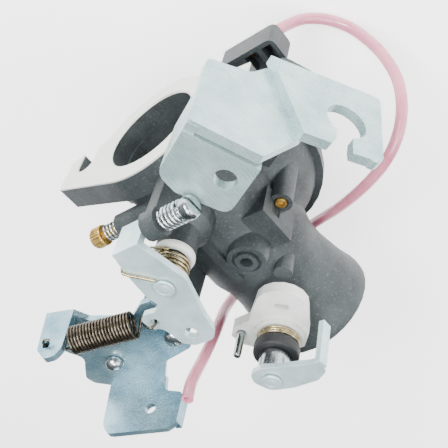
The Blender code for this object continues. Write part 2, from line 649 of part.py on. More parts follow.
def make_float():
    """The float with its hinge knuckle, hanging by FLOAT_DROP about its pin, and the needle on its arm."""
    pin_place = (FLOAT_PIN_X, 0, FLOAT_PIN_Z)
    new_object("float_pin", rod(FLOAT_PIN_R, -0.0098, 0.0098, 12), "steel", pin_place, ALONG_Y)
    centre = BOWL_X - FLOAT_PIN_X
    ring = [(PILLAR_R + 0.0024, -0.0128), (0.0212, -0.0128), (0.0220, -0.0120), (0.0220, -0.0036)]
    ring += [(0.0212, -0.0028), (PILLAR_R + 0.0024, -0.0028)]
    body = new_object("float", turned(ring, 28, ring=True), "float_foam", (BOWL_X, 0, FLOAT_PIN_Z))
    gap = block(-0.030, -0.0118, -0.0128, 0.0128, -0.020, 0.010)
    cut(body, "float_gap", gap, (BOWL_X, 0, FLOAT_PIN_Z))
    arm_top = -0.0010
    arm = block(-0.0006, centre - 0.0105, -0.0042, 0.0042, -0.0026, arm_top)
    join(body, "shape_float_arm", arm, pin_place)
    root = block(centre - 0.0125, centre - 0.0072, -0.0110, 0.0110, -0.0062, arm_top)
    join(body, "shape_float_root", root, pin_place)
    join(body, "shape_knuckle", rod(0.0021, -0.0060, 0.0060, 12), pin_place, ALONG_Y)
    cut(body, "knuckle_hole", rod(FLOAT_PIN_R + GAP, -0.010, 0.010, 12), pin_place, ALONG_Y)
    hang_from_pivot("float_pivot", pin_place, body)
    drop = NEEDLE_ARM * math.sin(FLOAT_DROP)
    low = FLOAT_PIN_Z + arm_top + GAP - drop
    top = SEAT_TOP - 0.0025 - drop
    needle = [(0, low), (NEEDLE_R, low), (NEEDLE_R, top - 0.0012), (0.0004, top), (0, top)]
    new_object("float_needle", turned(needle, 10), "steel", (FLOAT_PIN_X + NEEDLE_ARM, 0, 0))


def hang_from_pivot(name, place, body):
    """Puts a body and its cutters under an empty on the hinge's axis, turned down by FLOAT_DROP."""
    pivot = bpy.data.objects.new(name, None)
    bpy.context.scene.collection.objects.link(pivot)
    pivot.location = place
    pivot.rotation_euler = (0, FLOAT_DROP, 0)
    for piece in [body] + [modifier.object for modifier in body.modifiers]:
        piece.parent = pivot
        piece.matrix_parent_inverse = Matrix.Translation(-Vector(place))


# ============================================================================================
# Throttle
# ============================================================================================
def make_butterfly(prefix, x, shaft_r, low, high, plate_r, neck_low, head_top, turn):
    """A shaft with a flat, its round plate and the plate's two screws, all about one axis."""
    profile = [(0, low), (shaft_r - 0.0004, low), (shaft_r, low + 0.0004), (shaft_r, high)]
    profile += [(0.0020, high), (0.0020, neck_low), (0.0029, neck_low), (0.0029, head_top - 0.0003)]
    profile += [(0.0026, head_top), (0, head_top)]
    shaft = new_object(prefix + "_shaft", turned(profile, 14), "steel", (x, 0, 0), (0, 0, turn))
    flat_half = plate_r + GAP + 0.0001
    cut(shaft, prefix + "_flat", block(-SHAFT_FLAT, 0.010, -0.010, 0.010, -flat_half, flat_half),
        (x, 0, 0), (0, 0, turn))
    frame = Matrix.Rotation(turn, 4, "Z") @ Matrix.Rotation(math.radians(90.0), 4, "Y")
    disc_mesh = rod(plate_r, -PLATE_T / 2, PLATE_T / 2, 28)
    disc = new_object(prefix + "_plate", disc_mesh, "brass", (x, 0, 0), frame.to_euler())
    for k, z in enumerate((0.0055, -0.0055)):
        add_plate_screw(prefix, k, x, z, turn, shaft, disc)
    return shaft, disc


def add_plate_screw(prefix, k, x, z, turn, shaft, disc):
    """One screw through the plate into the shaft, with holes that clear it."""
    frame = Matrix.Rotation(turn, 4, "Z") @ Matrix.Rotation(math.radians(90.0), 4, "Y")
    place = (x, 0, z)
    seat = PLATE_T / 2 + GAP
    screw = [(0, -0.0030), (PLATE_SCREW_R, -0.0030), (PLATE_SCREW_R, seat), (0.0019, seat)]
    screw += [(0.0019, seat + 0.0004), (0.0014, seat + 0.0009), (0, seat + 0.0009)]
    new_object("%s_plate_screw_%d" % (prefix, k + 1), turned(screw, 14), "steel", place, frame.to_euler())
    hole = rod(PLATE_SCREW_R + GAP, -0.0033, 0.0040, 14)
    tool = new_object("%s_screw_hole_%d" % (prefix, k + 1), hole, None, place, frame.to_euler())
    modify(shaft, tool, "DIFFERENCE")
    modify(disc, tool, "DIFFERENCE")


def throttle_lever_outline():
    """Outline of the throttle lever about its shaft, with the link end, hook lobe and stop end."""
    points = [(-0.0154, -0.0051), (-0.0100, -0.0064), (-0.0040, -0.0072), (0.0016, -0.0078),
              (0.0050, -0.0066), (0.0070, -0.0100), (0.0064, -0.0140), (0.0082, -0.0163),
              (0.0120, -0.0158), (0.0140, -0.0125), (0.0172, -0.0120), (0.0215, -0.0118),
              (0.0240, -0.0085), (0.0240, -0.0015), (0.0205, 0.0010), (0.0150, 0.0022),
              (0.0000, 0.0074), (-0.0075, 0.0058), (-0.0154, 0.0042)]
    radii = [0.0, 0.002, 0.002, 0.002, 0.0015, 0.002, 0.002, 0.002, 0.002, 0.003, 0.002, 0.003,
             0.003, 0.003, 0.002, 0.004, 0.004, 0.003, 0.0]
    return rounded(points, radii, 3)


def make_throttle():
    """Throttle shaft, plate and screws, its lever with the stop tab, collar and return spring."""
    neck = LEVER_TOP + GAP
    make_butterfly("throttle", THROTTLE_X, THROTTLE_SHAFT_R, THROTTLE_SHAFT_LOW, LEVER_TOP - LEVER_T - GAP,
                   BORE_R - 0.0003, neck, neck + 0.0007, 0.0)
    lever = new_object("throttle_lever", plate(throttle_lever_outline(), LEVER_TOP - LEVER_T, LEVER_TOP),
                       "zinc_plate", (THROTTLE_X, 0, 0))
    tab = block(-0.0163, -0.0143, -0.0051, 0.0042, IDLE_Z - 0.0045, LEVER_TOP)
    join(lever, "shape_stop_tab", tab, (THROTTLE_X, 0, 0))
    cut(lever, "lever_shaft_hole", rod(0.0020 + GAP, 0.040, 0.050, 12), (THROTTLE_X, 0, 0))
    cut(lever, "link_hole", rod(0.00225, 0.040, 0.050, 13), (THROTTLE_X + 0.0188, -0.0062, 0))
    cut(lever, "spring_hole", rod(HOOK_R, 0.040, 0.050, 12), (HOOK_A[0], HOOK_A[1], 0))
    low = THROTTLE_TOWER_TOP + GAP
    new_object("throttle_collar", tube(THROTTLE_SHAFT_R + GAP, 0.0062, low, low + COLLAR_T, 18), "nylon",
               (THROTTLE_X, 0, 0))
    wire = 0.00045
    bottom = low + COLLAR_T + GAP + wire
    top = LEVER_TOP - LEVER_T - GAP - wire
    path = coil(RETURN_COIL_R, 5.5, bottom, top, math.radians(150.0), 10)
    first = Vector(path[0])
    last = Vector(path[-1])
    path.insert(0, tuple(first + Vector((-0.0012, -0.0016, 0.0))))
    path.insert(0, tuple(first + Vector((-0.0032, -0.0045, 0.0))))
    path += [tuple(last + Vector((0.0011, 0.0022, 0.0))), tuple(last + Vector((0.0018, 0.0052, 0.0)))]
    new_object("throttle_return_spring", sweep(path, wire, 5), "spring_wire", (THROTTLE_X, 0, 0))
    return lever


# ============================================================================================
# Lever bracket and extension spring
# ============================================================================================
def make_lever_bracket():
    """Sheet bracket beside the levers, with a drilled flap and a hooked tab for the spring."""
    points = [(0.0215, -0.0492), (0.0350, -0.0555), (0.0405, -0.0515), (0.0446, -0.0554),
              (0.0488, -0.0591), (0.0522, -0.0582), FLAP_FOOT, (0.0611, -0.0344), (0.0535, -0.0272),
              (0.0515, -0.0150), (0.0460, -0.0120), (0.0365, -0.0128), (0.0295, -0.0128),
              (0.0290, -0.0165), (0.0330, -0.0240), (0.0272, -0.0366), (0.0227, -0.0392)]
    radii = [0.0, 0.003, 0.003, 0.002, 0.002, 0.002, 0.0, 0.0, 0.003, 0.004, 0.003, 0.002, 0.001,
             0.002, 0.004, 0.003, 0.0]
    bracket = new_object("lever_bracket", plate(rounded(points, radii, 3), ARM_LOW, ARM_TOP), "zinc_plate")
    join(bracket, "shape_flap", flap_mesh(), (FLAP_FOOT[0], FLAP_FOOT[1], 0), (0, 0, FLAP_TURN))
    lip = block(0.0262, 0.0282, -0.0045, 0.0, ARM_TOP + 0.0060, ARM_TOP + 0.0155)
    join(bracket, "shape_flap_lip", lip, (FLAP_FOOT[0], FLAP_FOOT[1], 0), (0, 0, FLAP_TURN))
    cut(bracket, "flap_hole", rod(0.0019, -0.010, 0.010, 12), flap_point(0.0179, 0.0105), across_flap())
    join(bracket, "shape_hook_tab", hook_tab_mesh(), (*TAB_FOOT, 0), (0, 0, TAB_TURN))
    cut(bracket, "hook_hole", rod(HOOK_R, -0.006, 0.006, 12), HOOK_B,
        (math.radians(-90.0), 0, math.radians(75.0)))
    for k, (x, y) in enumerate(ARM_POSTS):
        cut(bracket, "arm_screw_hole_%d" % (k + 1), rod(ARM_SCREW_R + GAP, 0.036, 0.044, 10), (x, y, 0))
        screw = turned([(0, 0.0292), (0.0012, 0.0292), (ARM_SCREW_R, 0.0297), (ARM_SCREW_R, ARM_TOP + GAP),
                        (0.0030, ARM_TOP + GAP), (0.0030, ARM_TOP + 0.0010), (0.0023, ARM_TOP + 0.0016),
                        (0, ARM_TOP + 0.0016)], 18)
        new_object("lever_bracket_screw_%d" % (k + 1), screw, "steel", (x, y, 0))
    cut(bracket, "rivet_hole", rod(RIVET_R + GAP, 0.036, 0.044, 12), (*RIVET_PLACE, 0))
    low = ARM_LOW - GAP
    high = ARM_TOP + GAP
    rivet = [(0, low - 0.0011), (0.0026, low - 0.0011), (0.0030, low - 0.0005), (0.0030, low), (RIVET_R, low)]
    rivet += [(RIVET_R, high), (0.0030, high), (0.0029, high + 0.0015), (0.0018, high + 0.0027)]
    rivet += [(0, high + 0.0029)]
    new_object("lever_bracket_rivet", turned(rivet, 13), "steel", (*RIVET_PLACE, 0))
    return bracket


def flap_mesh():
    """The bracket's raised flap, in a frame that runs along its foot (X) and up (Z)."""
    points = [(0.0, ARM_TOP - ARM_T), (0.0204, ARM_TOP - ARM_T), (0.0215, ARM_TOP + 0.0040),
              (0.0282, ARM_TOP + 0.0052), (0.0282, ARM_TOP + 0.0160), (0.0255, ARM_TOP + 0.0182),
              (0.0045, ARM_TOP + 0.0190), (0.0020, ARM_TOP + 0.0150)]
    radii = [0.0, 0.0, 0.002, 0.002, 0.002, 0.0015, 0.0035, 0.004]
    bm = plate(rounded(points, radii, 3), -0.002, 0.0)
    stand = Matrix.Rotation(math.radians(90.0), 4, "X")
    bmesh.ops.transform(bm, matrix=Matrix.Translation((0, -0.002, 0)) @ stand, verts=bm.verts)
    return bm


def flap_point(along, up):
    """World point on the flap at a distance along its foot and a height above the sheet."""
    base = Vector((FLAP_FOOT[0], FLAP_FOOT[1], ARM_TOP + up))
    return base + Vector((math.cos(FLAP_TURN), math.sin(FLAP_TURN), 0.0)) * along


def across_flap():
    """Rotation that turns local Z through the flap's sheet."""
    return (math.radians(-90.0), 0.0, FLAP_TURN)


def hook_tab_mesh():
    """The small raised tab that the extension spring hooks on."""
    points = [(-0.0004, ARM_TOP - ARM_T), (0.0098, ARM_TOP - ARM_T), (0.0108, ARM_TOP + 0.0130),
              (0.0092, ARM_TOP + 0.0158), (0.0058, ARM_TOP + 0.0164), (0.0020, ARM_TOP + 0.0128)]
    bm = plate(rounded(points, [0.0, 0.0, 0.002, 0.002, 0.002, 0.003], 3), -0.001, 0.001)
    bmesh.ops.transform(bm, matrix=Matrix.Rotation(math.radians(90.0), 4, "X"), verts=bm.verts)
    return bm


def make_extension_spring():
    """Close-wound spring from the throttle lever's lobe to the bracket's tab, hooked at both ends."""
    wire = 0.00045
    start = Vector(HOOK_A)
    end = Vector(HOOK_B)
    line = (end - start).normalized()
    length = (end - start).length
    frame = line.to_track_quat("Z", "Y").to_matrix().to_4x4()
    turns = coil(0.0034, 13.0, 0.27 * length, 0.76 * length, 0.0, 9)
    middle = [start + frame @ Vector(p) for p in turns]
    lead_in = hook_points(start, Vector((0, 0, 1)), line, 1.0)
    across_tab = TAB_TURN + math.radians(90.0)
    through = Vector((math.cos(across_tab), math.sin(across_tab), 0))
    lead_out = hook_points(end, through, -line, 1.0)[::-1]
    path = lead_in + middle + lead_out
    new_object("extension_spring", sweep(path, wire, 5), "spring_wire")


def hook_points(hole, through, away, size):
    """Points of a hook that passes through a hole and turns back along the spring."""
    reach = 0.0030 * size
    points = [hole + through * reach * 0.95 + away * 0.0016, hole + through * reach * 0.75]
    points += [hole, hole - through * reach * 0.75 + away * 0.0002, hole - through * reach + away * 0.0022]
    points += [hole - through * reach * 0.9 + away * 0.0052]
    return points


# ============================================================================================
# Adjusting screws
# ============================================================================================
def make_idle_screw():
    """Idle stop screw with its spring, on an axis along Y."""
    profile = [(0, IDLE_TIP_Y), (0.0012, IDLE_TIP_Y), (IDLE_R, IDLE_TIP_Y + 0.0010), (IDLE_R, IDLE_HEAD_Y)]
    profile += [(0.0034, IDLE_HEAD_Y), (0.0034, IDLE_HEAD_Y + 0.0024), (0.0028, IDLE_HEAD_Y + 0.0032)]
    profile += [(0, IDLE_HEAD_Y + 0.0032)]
    place = (IDLE_X, 0, IDLE_Z)
    screw = new_object("idle_stop_screw", turned(profile, 14), "steel", place, ALONG_Y)
    slot = block(-0.006, 0.006, -0.0005, 0.0005, IDLE_HEAD_Y + 0.0018, IDLE_HEAD_Y + 0.006)
    cut(screw, "idle_driver_slot", slot, place, ALONG_Y)
    wire = 0.00045
    path = coil(0.0029, 5.0, 0.0106 + GAP + wire, IDLE_HEAD_Y - GAP - wire, 0.0, 10)
    new_object("idle_screw_spring", sweep(path, wire, 5), "steel", place, ALONG_Y)


def make_mixture_screw():
    """Brass mixture screw with a knurled head and its spring, on an axis along -Y."""
    into = -MIX_FACE_Y
    head = -MIX_HEAD_Y
    profile = [(0, into - 0.0110), (0.0004, into - 0.0110), (MIX_R, into - 0.0060), (MIX_R, head)]
    profile += [(0.0030, head), (0.0034, head + 0.0004), (0.0034, head + 0.0040), (0.0028, head + 0.0046)]
    profile += [(0, head + 0.0046)]
    place = (MIX_X, 0, MIX_Z)
    turn = (math.radians(90.0), 0, 0)
    screw = new_object("mixture_screw", turned(profile, 14), "brass", place, turn)
    slot = block(-0.006, 0.006, -0.0005, 0.0005, head + 0.0034, head + 0.008)
    cut(screw, "mixture_driver_slot", slot, place, turn)
    wire = 0.0004
    path = coil(0.0024, 4.0, into + GAP + wire, head - GAP - wire, 0.0, 10)
    new_object("mixture_screw_spring", sweep(path, wire, 5), "steel", place, turn)


# ============================================================================================
# Choke
# ============================================================================================
def cam_outline():
    """Outline of the nylon cam about its shaft: a round tongue, and a lobe for the pin."""
    points = []
    tongue = math.radians(142.0)
    along = Vector((math.cos(tongue), math.sin(tongue)))
    across = Vector((-along.y, along.x))
    for k in range(9):
        angle = math.radians(90.0 - 180.0 * k / 8)
        point = along * (0.0128 + 0.0080 * math.cos(angle)) - across * 0.0084 * math.sin(angle)
        points.append((point.x, point.y))
    points += [(-0.0098, -0.0050), (-0.0094, -0.0118), (-0.0062, -0.0148), (-0.0010, -0.0140)]
    points += [(0.0046, -0.0088), (0.0088, -0.0030), (0.0086, 0.0040), (0.0040, 0.0088)]
    return points


def make_choke():
    """Choke shaft, plate and screws, nylon cam and pin, spring, rubber ring, hub and lever."""
    neck = CHOKE_LEVER_TOP + GAP
    make_butterfly("choke", CHOKE_X, CHOKE_SHAFT_R, -0.0182, CHOKE_LEVER_TOP - CHOKE_LEVER_T - GAP,
                   HORN_BORE_R - 0.0003, neck, neck + 0.0007, math.radians(75.0))
    low = CHOKE_TOWER_TOP + GAP
    cam = new_object("choke_cam", plate(cam_outline(), low, low + CAM_T), "nylon", (CHOKE_X, 0, 0))
    join(cam, "shape_cam_hub", rod(0.0082, low, low + CAM_T + 0.0012, 22), (CHOKE_X, 0, 0))
    cut(cam, "cam_bore", rod(CHOKE_SHAFT_R + GAP, 0.015, 0.035, 14), (CHOKE_X, 0, 0))
    tongue = math.radians(142.0)
    slot = (CHOKE_X + 0.0135 * math.cos(tongue), 0.0135 * math.sin(tongue), 0)
    corners = [(-0.0012, -0.0023), (0.0012, -0.0023), (0.0012, 0.0023), (-0.0012, 0.0023)]
    cut(cam, "cam_slot", plate(rounded(corners, [0.0011] * 4, 3), 0.015, 0.035), slot, (0, 0, tongue))
    pin_place = (CHOKE_X - 0.0060, -0.0108, 0)
    cut(cam, "pin_bore", rod(0.0013 + GAP, 0.015, 0.035, 10), pin_place)
    top = low + CAM_T
    pin = [(0, low - 0.0018), (0.0020, low - 0.0018), (0.0022, low - 0.0006), (0.0022, low - GAP)]
    pin += [(0.0013, low - GAP), (0.0013, top + 0.0092), (0.0009, top + 0.0097), (0, top + 0.0097)]
    new_object("cam_pin", turned(pin, 10), "steel", pin_place)
    make_choke_stack(low + CAM_T + 0.0012)
    make_choke_lever()


def make_choke_stack(base):
    """Torsion spring, rubber ring and hub that stand between the cam and the choke lever."""
    wire = 0.0004
    spring_low = base + GAP + wire
    path = coil(0.0066, 2.5, spring_low, spring_low + 0.0022, math.radians(30.0), 12)
    last = Vector(path[-1])
    path += [tuple(last + Vector((-0.0008, 0.0030, 0.0))), tuple(last + Vector((0.0012, 0.0060, -0.0002)))]
    new_object("choke_spring", sweep(path, wire, 5), "spring_wire", (CHOKE_X, 0, 0))
    ring_low = spring_low + 0.0022 + wire + GAP
    new_object("choke_ring", tube(CHOKE_SHAFT_R + GAP, 0.0074, ring_low, ring_low + 0.0042, 22), "rubber",
               (CHOKE_X, 0, 0))
    hub_low = ring_low + 0.0042 + GAP
    hub_top = CHOKE_LEVER_TOP - CHOKE_LEVER_T - GAP
    new_object("choke_hub", tube(CHOKE_SHAFT_R + GAP, 0.0050, hub_low, hub_top, 18), "steel", (CHOKE_X, 0, 0))


def make_choke_lever():
    """Pressed steel choke lever with a long stop tab that hangs from its outer end."""
    points = [(-0.0050, -0.0048), (-0.0010, -0.0062), (0.0046, -0.0036), (0.0062, 0.0040),
              (0.0060, 0.0128), (0.0036, 0.0172), (-0.0014, 0.0184), (-0.0018, 0.0150),
              (-0.0044, 0.0050), (-0.0062, 0.0000)]
    radii = [0.003, 0.003, 0.004, 0.004, 0.002, 0.002, 0.0, 0.001, 0.003, 0.003]
    low = CHOKE_LEVER_TOP - CHOKE_LEVER_T
    lever = new_object("choke_lever", plate(rounded(points, radii, 3), low, CHOKE_LEVER_TOP), "zinc_plate",
                       (CHOKE_X, 0, 0))
    tab = block(-0.0018, 0.0020, 0.0166, 0.0184, low - 0.0140, CHOKE_LEVER_TOP - 0.0004)
    join(lever, "shape_choke_tab", tab, (CHOKE_X, 0, 0))
    cut(lever, "choke_lever_hole", rod(0.0020 + GAP, 0.035, 0.050, 12), (CHOKE_X, 0, 0))
    return lever


# ============================================================================================
# Cable bracket
# ============================================================================================
def upright(outline, inner, outer):
    """A vertical plate in the bracket's frame: outline in (along, up), between two depths."""
    bm = plate(outline, -outer, -inner)
    bmesh.ops.transform(bm, matrix=Matrix.Rotation(math.radians(90.0), 4, "X"), verts=bm.verts)
    return bm


def keyhole_outline():
    """Outline of the bracket's arm, with a keyhole slot open on its upper edge."""
    u, z, radius = KEYHOLE
    half = KEYHOLE_NECK / 2.0
    opening = math.asin(half / radius)
    edge = 0.0206
    outline = rounded([(0.0198, -0.0034), (0.0550, -0.0104), (0.0570, 0.0168), (0.0545, 0.0198)],
                      [0.0, 0.002, 0.003, 0.002], 3)
    outline += [(u + half + 0.0004, edge - 0.0004), (u + half, edge - 0.003)]
    for k in range(17):
        angle = math.pi / 2.0 - opening - (2.0 * math.pi - 2.0 * opening) * k / 16
        outline.append((u + radius * math.cos(angle), z + radius * math.sin(angle)))
    outline += [(u - half, edge - 0.003), (u - half - 0.0012, edge - 0.0002), (0.0332, 0.0220)]
    return outline


def make_cable_bracket():
    """Folded sheet bracket: drilled tab, side wall, web, keyhole arm and a hidden foot."""
    turn = (0, 0, BRACKET_TURN)
    tab = rounded([(TAB_U0, TAB_V0 + 0.003), (0.0110, TAB_V0), (TAB_U1, TAB_V0 + 0.0012), (TAB_U1, 0.0330),
                   (TAB_U0, 0.0330)], [0.005, 0.003, 0.0035, 0.0, 0.0], 4)
    bracket = new_object("cable_bracket", plate(tab, TOP_Z - SHEET, TOP_Z), "zinc_plate", rotation=turn)
    wall = block(TAB_U0, TAB_U0 + SHEET, 0.0185, WEB_V - 0.001, 0.0170, TOP_Z - 0.0004)
    join(bracket, "shape_side_wall", wall, rotation=turn)
    web = [(TAB_U0 + 0.0002, TOP_Z - 0.0006), (0.0247, TOP_Z - 0.0006), (0.0345, 0.0198), (0.0372, 0.0060)]
    web += [(0.0340, -0.0050), (0.0225, -0.0042), (0.0165, 0.0042), (0.0100, 0.0062)]
    web += [(TAB_U0 - 0.0006, 0.0078)]
    radii = [0.001, 0.001, 0.002, 0.003, 0.003, 0.002, 0.004, 0.003, 0.0025]
    join(bracket, "shape_web_plate", upright(rounded(web, radii, 4), WEB_IN, WEB_V), rotation=turn)
    arm = upright(keyhole_outline(), WEB_V - 0.0002, WEB_V + SHEET - 0.0002)
    join(bracket, "shape_keyhole_arm", arm, rotation=turn)
    far = WEB_V - 0.0010
    corners = [(0.0258, 0.0215), (0.0366, 0.0215), (0.0366, far), (0.0258, far)]
    foot = plate(rounded(corners, [0.003, 0.003, 0.0, 0.0], 3), FOOT_LOW, FOOT_LOW + SHEET)
    join(bracket, "shape_foot", foot, rotation=turn)
    gap = block(0.0090, 0.0300, 0.0328, WEB_IN, TOP_Z - SHEET - 0.001, TOP_Z + 0.001)
    cut(bracket, "fold_gap", gap, rotation=turn)
    u, v, radius = TAB_HOLE
    place = turn_point(u, v)
    cut(bracket, "tab_hole", rod(radius, TOP_Z - 0.010, TOP_Z + 0.010, 18), (place[0], place[1], 0))
    for k, (su, sv) in enumerate(BRACKET_SCREWS):
        x, y = turn_point(su, sv)
        cut(bracket, "foot_hole_%d" % (k + 1), rod(BRACKET_SCREW_R + GAP, -0.003, 0.006, 10), (x, y, 0))
        seat = FOOT_LOW + SHEET + GAP
        screw = [(0, -0.0098), (0.0012, -0.0098), (BRACKET_SCREW_R, -0.0093), (BRACKET_SCREW_R, seat)]
        screw += [(0.0023, seat), (0.0023, seat + 0.0018), (0.0018, seat + 0.0022), (0, seat + 0.0022)]
        new_object("cable_bracket_screw_%d" % (k + 1), turned(screw, 18), "steel", (x, y, 0))
    return bracket


# ============================================================================================
# Assembly
# ============================================================================================
def clear_scene():
    """Removes whatever the scene holds."""
    for item in list(bpy.data.objects):
        bpy.data.objects.remove(item, do_unlink=True)


def main():
    """Builds every piece of the carburetor."""
    clear_scene()
    make_casting()
    make_nipple()
    make_hose()
    make_bowl()
    make_jets()
    make_float()
    make_throttle()
    make_lever_bracket()
    make_extension_spring()
    make_idle_screw()
    make_mixture_screw()
    make_choke()
    make_cable_bracket()


main()
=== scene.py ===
"""Looks of a small engine's float-bowl carburetor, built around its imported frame.

Axes: +X runs along the bore from the engine flange to the air horn, +Y points to the cable
bracket, +Z points up to the levers. All lengths are in metres unless a name ends in _mm.
"""
import logging
import math
from dataclasses import dataclass
from enum import Enum
from typing import Callable

import bmesh
import bpy
import numpy as np
from mathutils import Matrix, Vector


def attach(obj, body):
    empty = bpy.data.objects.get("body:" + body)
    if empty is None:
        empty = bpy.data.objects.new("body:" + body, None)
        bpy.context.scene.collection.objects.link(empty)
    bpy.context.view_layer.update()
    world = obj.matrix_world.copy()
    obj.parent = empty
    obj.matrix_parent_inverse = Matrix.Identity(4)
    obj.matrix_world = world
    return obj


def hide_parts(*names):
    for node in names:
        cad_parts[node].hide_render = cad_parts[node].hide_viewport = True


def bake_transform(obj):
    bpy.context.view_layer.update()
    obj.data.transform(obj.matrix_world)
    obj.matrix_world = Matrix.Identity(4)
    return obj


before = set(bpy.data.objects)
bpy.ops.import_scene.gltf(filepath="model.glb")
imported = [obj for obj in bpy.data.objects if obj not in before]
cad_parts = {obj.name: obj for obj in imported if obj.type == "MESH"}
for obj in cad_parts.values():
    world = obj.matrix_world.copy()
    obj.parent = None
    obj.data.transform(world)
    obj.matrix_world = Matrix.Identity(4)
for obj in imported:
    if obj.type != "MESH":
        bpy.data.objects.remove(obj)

LOG = logging.getLogger("carburetor")
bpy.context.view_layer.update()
ROOT = "carburetor_body"
UP = (0.0, 0.0, 1.0)
GAP = 0.0003  # left between two pieces that touch
SHARP = math.radians(38.0)  # edges that turn more than this stay sharp

Point = tuple[float, float, float]
Profile = list[tuple[float, float]]
Shape = Callable[[np.ndarray, np.ndarray, np.ndarray], np.ndarray]


# ---- Nodes and colours ----
def linear(code: str) -> tuple[float, ...]:
    """Turns an sRGB hex code into linear red, green, blue and a full alpha.

    Args:
        code: six hex digits after a hash sign.

    Returns:
        Four numbers from 0 to 1.
    """
    srgb = np.array([int(code[k:k + 2], 16) for k in (1, 3, 5)]) / 255.0
    straight = np.where(srgb <= 0.04045, srgb / 12.92, ((srgb + 0.055) / 1.055) ** 2.4)
    return (*straight.tolist(), 1.0)


def add_node(tree: bpy.types.NodeTree, kind: str, settings: dict | None = None,
             links: dict | None = None) -> bpy.types.Node:
    """Adds one node with its settings and links.

    Args:
        tree: the node tree it goes in.
        kind: the node's type name.
        settings: values by input name or number, or by property name after a dot.
        links: output sockets by the input name or number that they feed.

    Returns:
        The new node.
    """
    node = tree.nodes.new(kind)
    for key, value in (settings or {}).items():
        if isinstance(key, str) and key.startswith("."):
            setattr(node, key[1:], value)
        else:
            node.inputs[key].default_value = value
    for key, socket in (links or {}).items():
        tree.links.new(socket, node.inputs[key])
    return node


class Grain(Enum):
    """How the fine grain of a surface runs."""

    EVEN = (1.0, 1.0, 1.0)
    ALONG_X = (0.12, 1.0, 1.0)
    ALONG_Y = (1.0, 0.12, 1.0)
    AROUND_Z = (1.0, 1.0, 9.0)


@dataclass(frozen=True)
class Finish:
    """A real surface, with its two colours and the real sizes of its patterns.

    The slow pattern moves the colour between dark and light; the fine grain moves the roughness
    and lifts the surface.
    """

    name: str
    light: str
    dark: str
    metallic: float
    rough: tuple[float, float]
    cloud_mm: float = 6.0
    grain_mm: float = 0.4
    bump_mm: float = 0.01
    grain: Grain = Grain.EVEN
    speck: str = ""
    speck_mm: float = 1.0
    transmission: float = 0.0
    subsurface: float = 0.0
    coat: float = 0.0
    ior: float = 1.45

    def build(self) -> bpy.types.Material:
        """Makes the material, or hands back the one made before."""
        found = bpy.data.materials.get(self.name)
        if found is not None:
            return found
        material = bpy.data.materials.new(self.name)
        material.use_nodes = True
        tree = material.node_tree
        shader = tree.nodes["Principled BSDF"]
        shader.inputs["Metallic"].default_value = self.metallic
        if self.metallic < 0.5:
            shader.inputs["IOR"].default_value = self.ior
        if self.transmission:
            shader.inputs["Transmission Weight"].default_value = self.transmission
        if self.subsurface:
            shader.inputs["Subsurface Weight"].default_value = self.subsurface
            shader.inputs["Subsurface Radius"].default_value = (1.0, 0.9, 0.8)
            shader.inputs["Subsurface Scale"].default_value = 0.001
        if self.coat:
            shader.inputs["Coat Weight"].default_value = self.coat
            shader.inputs["Coat Roughness"].default_value = 0.15
        self.wire(tree, shader)
        return material

    def wire(self, tree: bpy.types.NodeTree, shader: bpy.types.Node) -> None:
        """Links colour, roughness and bump to the shader.

        Args:
            tree: the material's node tree.
            shader: its shader.
        """
        place = add_node(tree, "ShaderNodeTexCoord").outputs["Object"]
        cloud = add_node(tree, "ShaderNodeTexNoise",
                         {"Scale": 1000.0 / self.cloud_mm, "Detail": 4.0, "Roughness": 0.6},
                         {"Vector": place})
        run = add_node(tree, "ShaderNodeMapping", {"Scale": self.grain.value}, {"Vector": place})
        fine = add_node(tree, "ShaderNodeTexNoise",
                        {"Scale": 1000.0 / self.grain_mm, "Detail": 2.0, "Roughness": 0.55},
                        {"Vector": run.outputs[0]})
        spread = add_node(tree, "ShaderNodeMapRange", {1: 0.32, 2: 0.68}, {0: cloud.outputs["Fac"]})
        colour = add_node(tree, "ShaderNodeMix",
                          {".data_type": "RGBA", 6: linear(self.dark), 7: linear(self.light)},
                          {0: spread.outputs[0]}).outputs[2]
        colour = self.tint(tree, place, colour)
        rough = add_node(tree, "ShaderNodeMapRange",
                         {1: 0.3, 2: 0.7, 3: self.rough[0], 4: self.rough[1]},
                         {0: fine.outputs["Fac"]}).outputs[0]
        rough = self.polish(tree, place, rough)
        bump = add_node(tree, "ShaderNodeBump", {"Strength": 1.0, "Distance": self.bump_mm / 1000.0},
                        {"Height": fine.outputs["Fac"]})
        tree.links.new(colour, shader.inputs["Base Color"])
        tree.links.new(rough, shader.inputs["Roughness"])
        tree.links.new(bump.outputs[0], shader.inputs["Normal"])

    def tint(self, tree: bpy.types.NodeTree, place: bpy.types.NodeSocket,
             colour: bpy.types.NodeSocket) -> bpy.types.NodeSocket:
        """Adds small specks of a second colour where the finish has them.

        Args:
            tree: the material's node tree.
            place: the point's place on the object.
            colour: the colour so far.

        Returns:
            The colour with its specks.
        """
        if not self.speck:
            return colour
        spots = add_node(tree, "ShaderNodeTexNoise",
                         {"Scale": 1000.0 / self.speck_mm, "Detail": 3.0, "Roughness": 0.7},
                         {"Vector": place})
        share = add_node(tree, "ShaderNodeMapRange", {1: 0.56, 2: 0.68, 3: 0.0, 4: 0.75},
                         {0: spots.outputs["Fac"]})
        return add_node(tree, "ShaderNodeMix", {".data_type": "RGBA", 7: linear(self.speck)},
                        {0: share.outputs[0], 6: colour}).outputs[2]

    def polish(self, tree: bpy.types.NodeTree, place: bpy.types.NodeSocket,
               rough: bpy.types.NodeSocket) -> bpy.types.NodeSocket:
        """Leaves the roughness as it is; a finish with worked faces changes it."""
        return rough


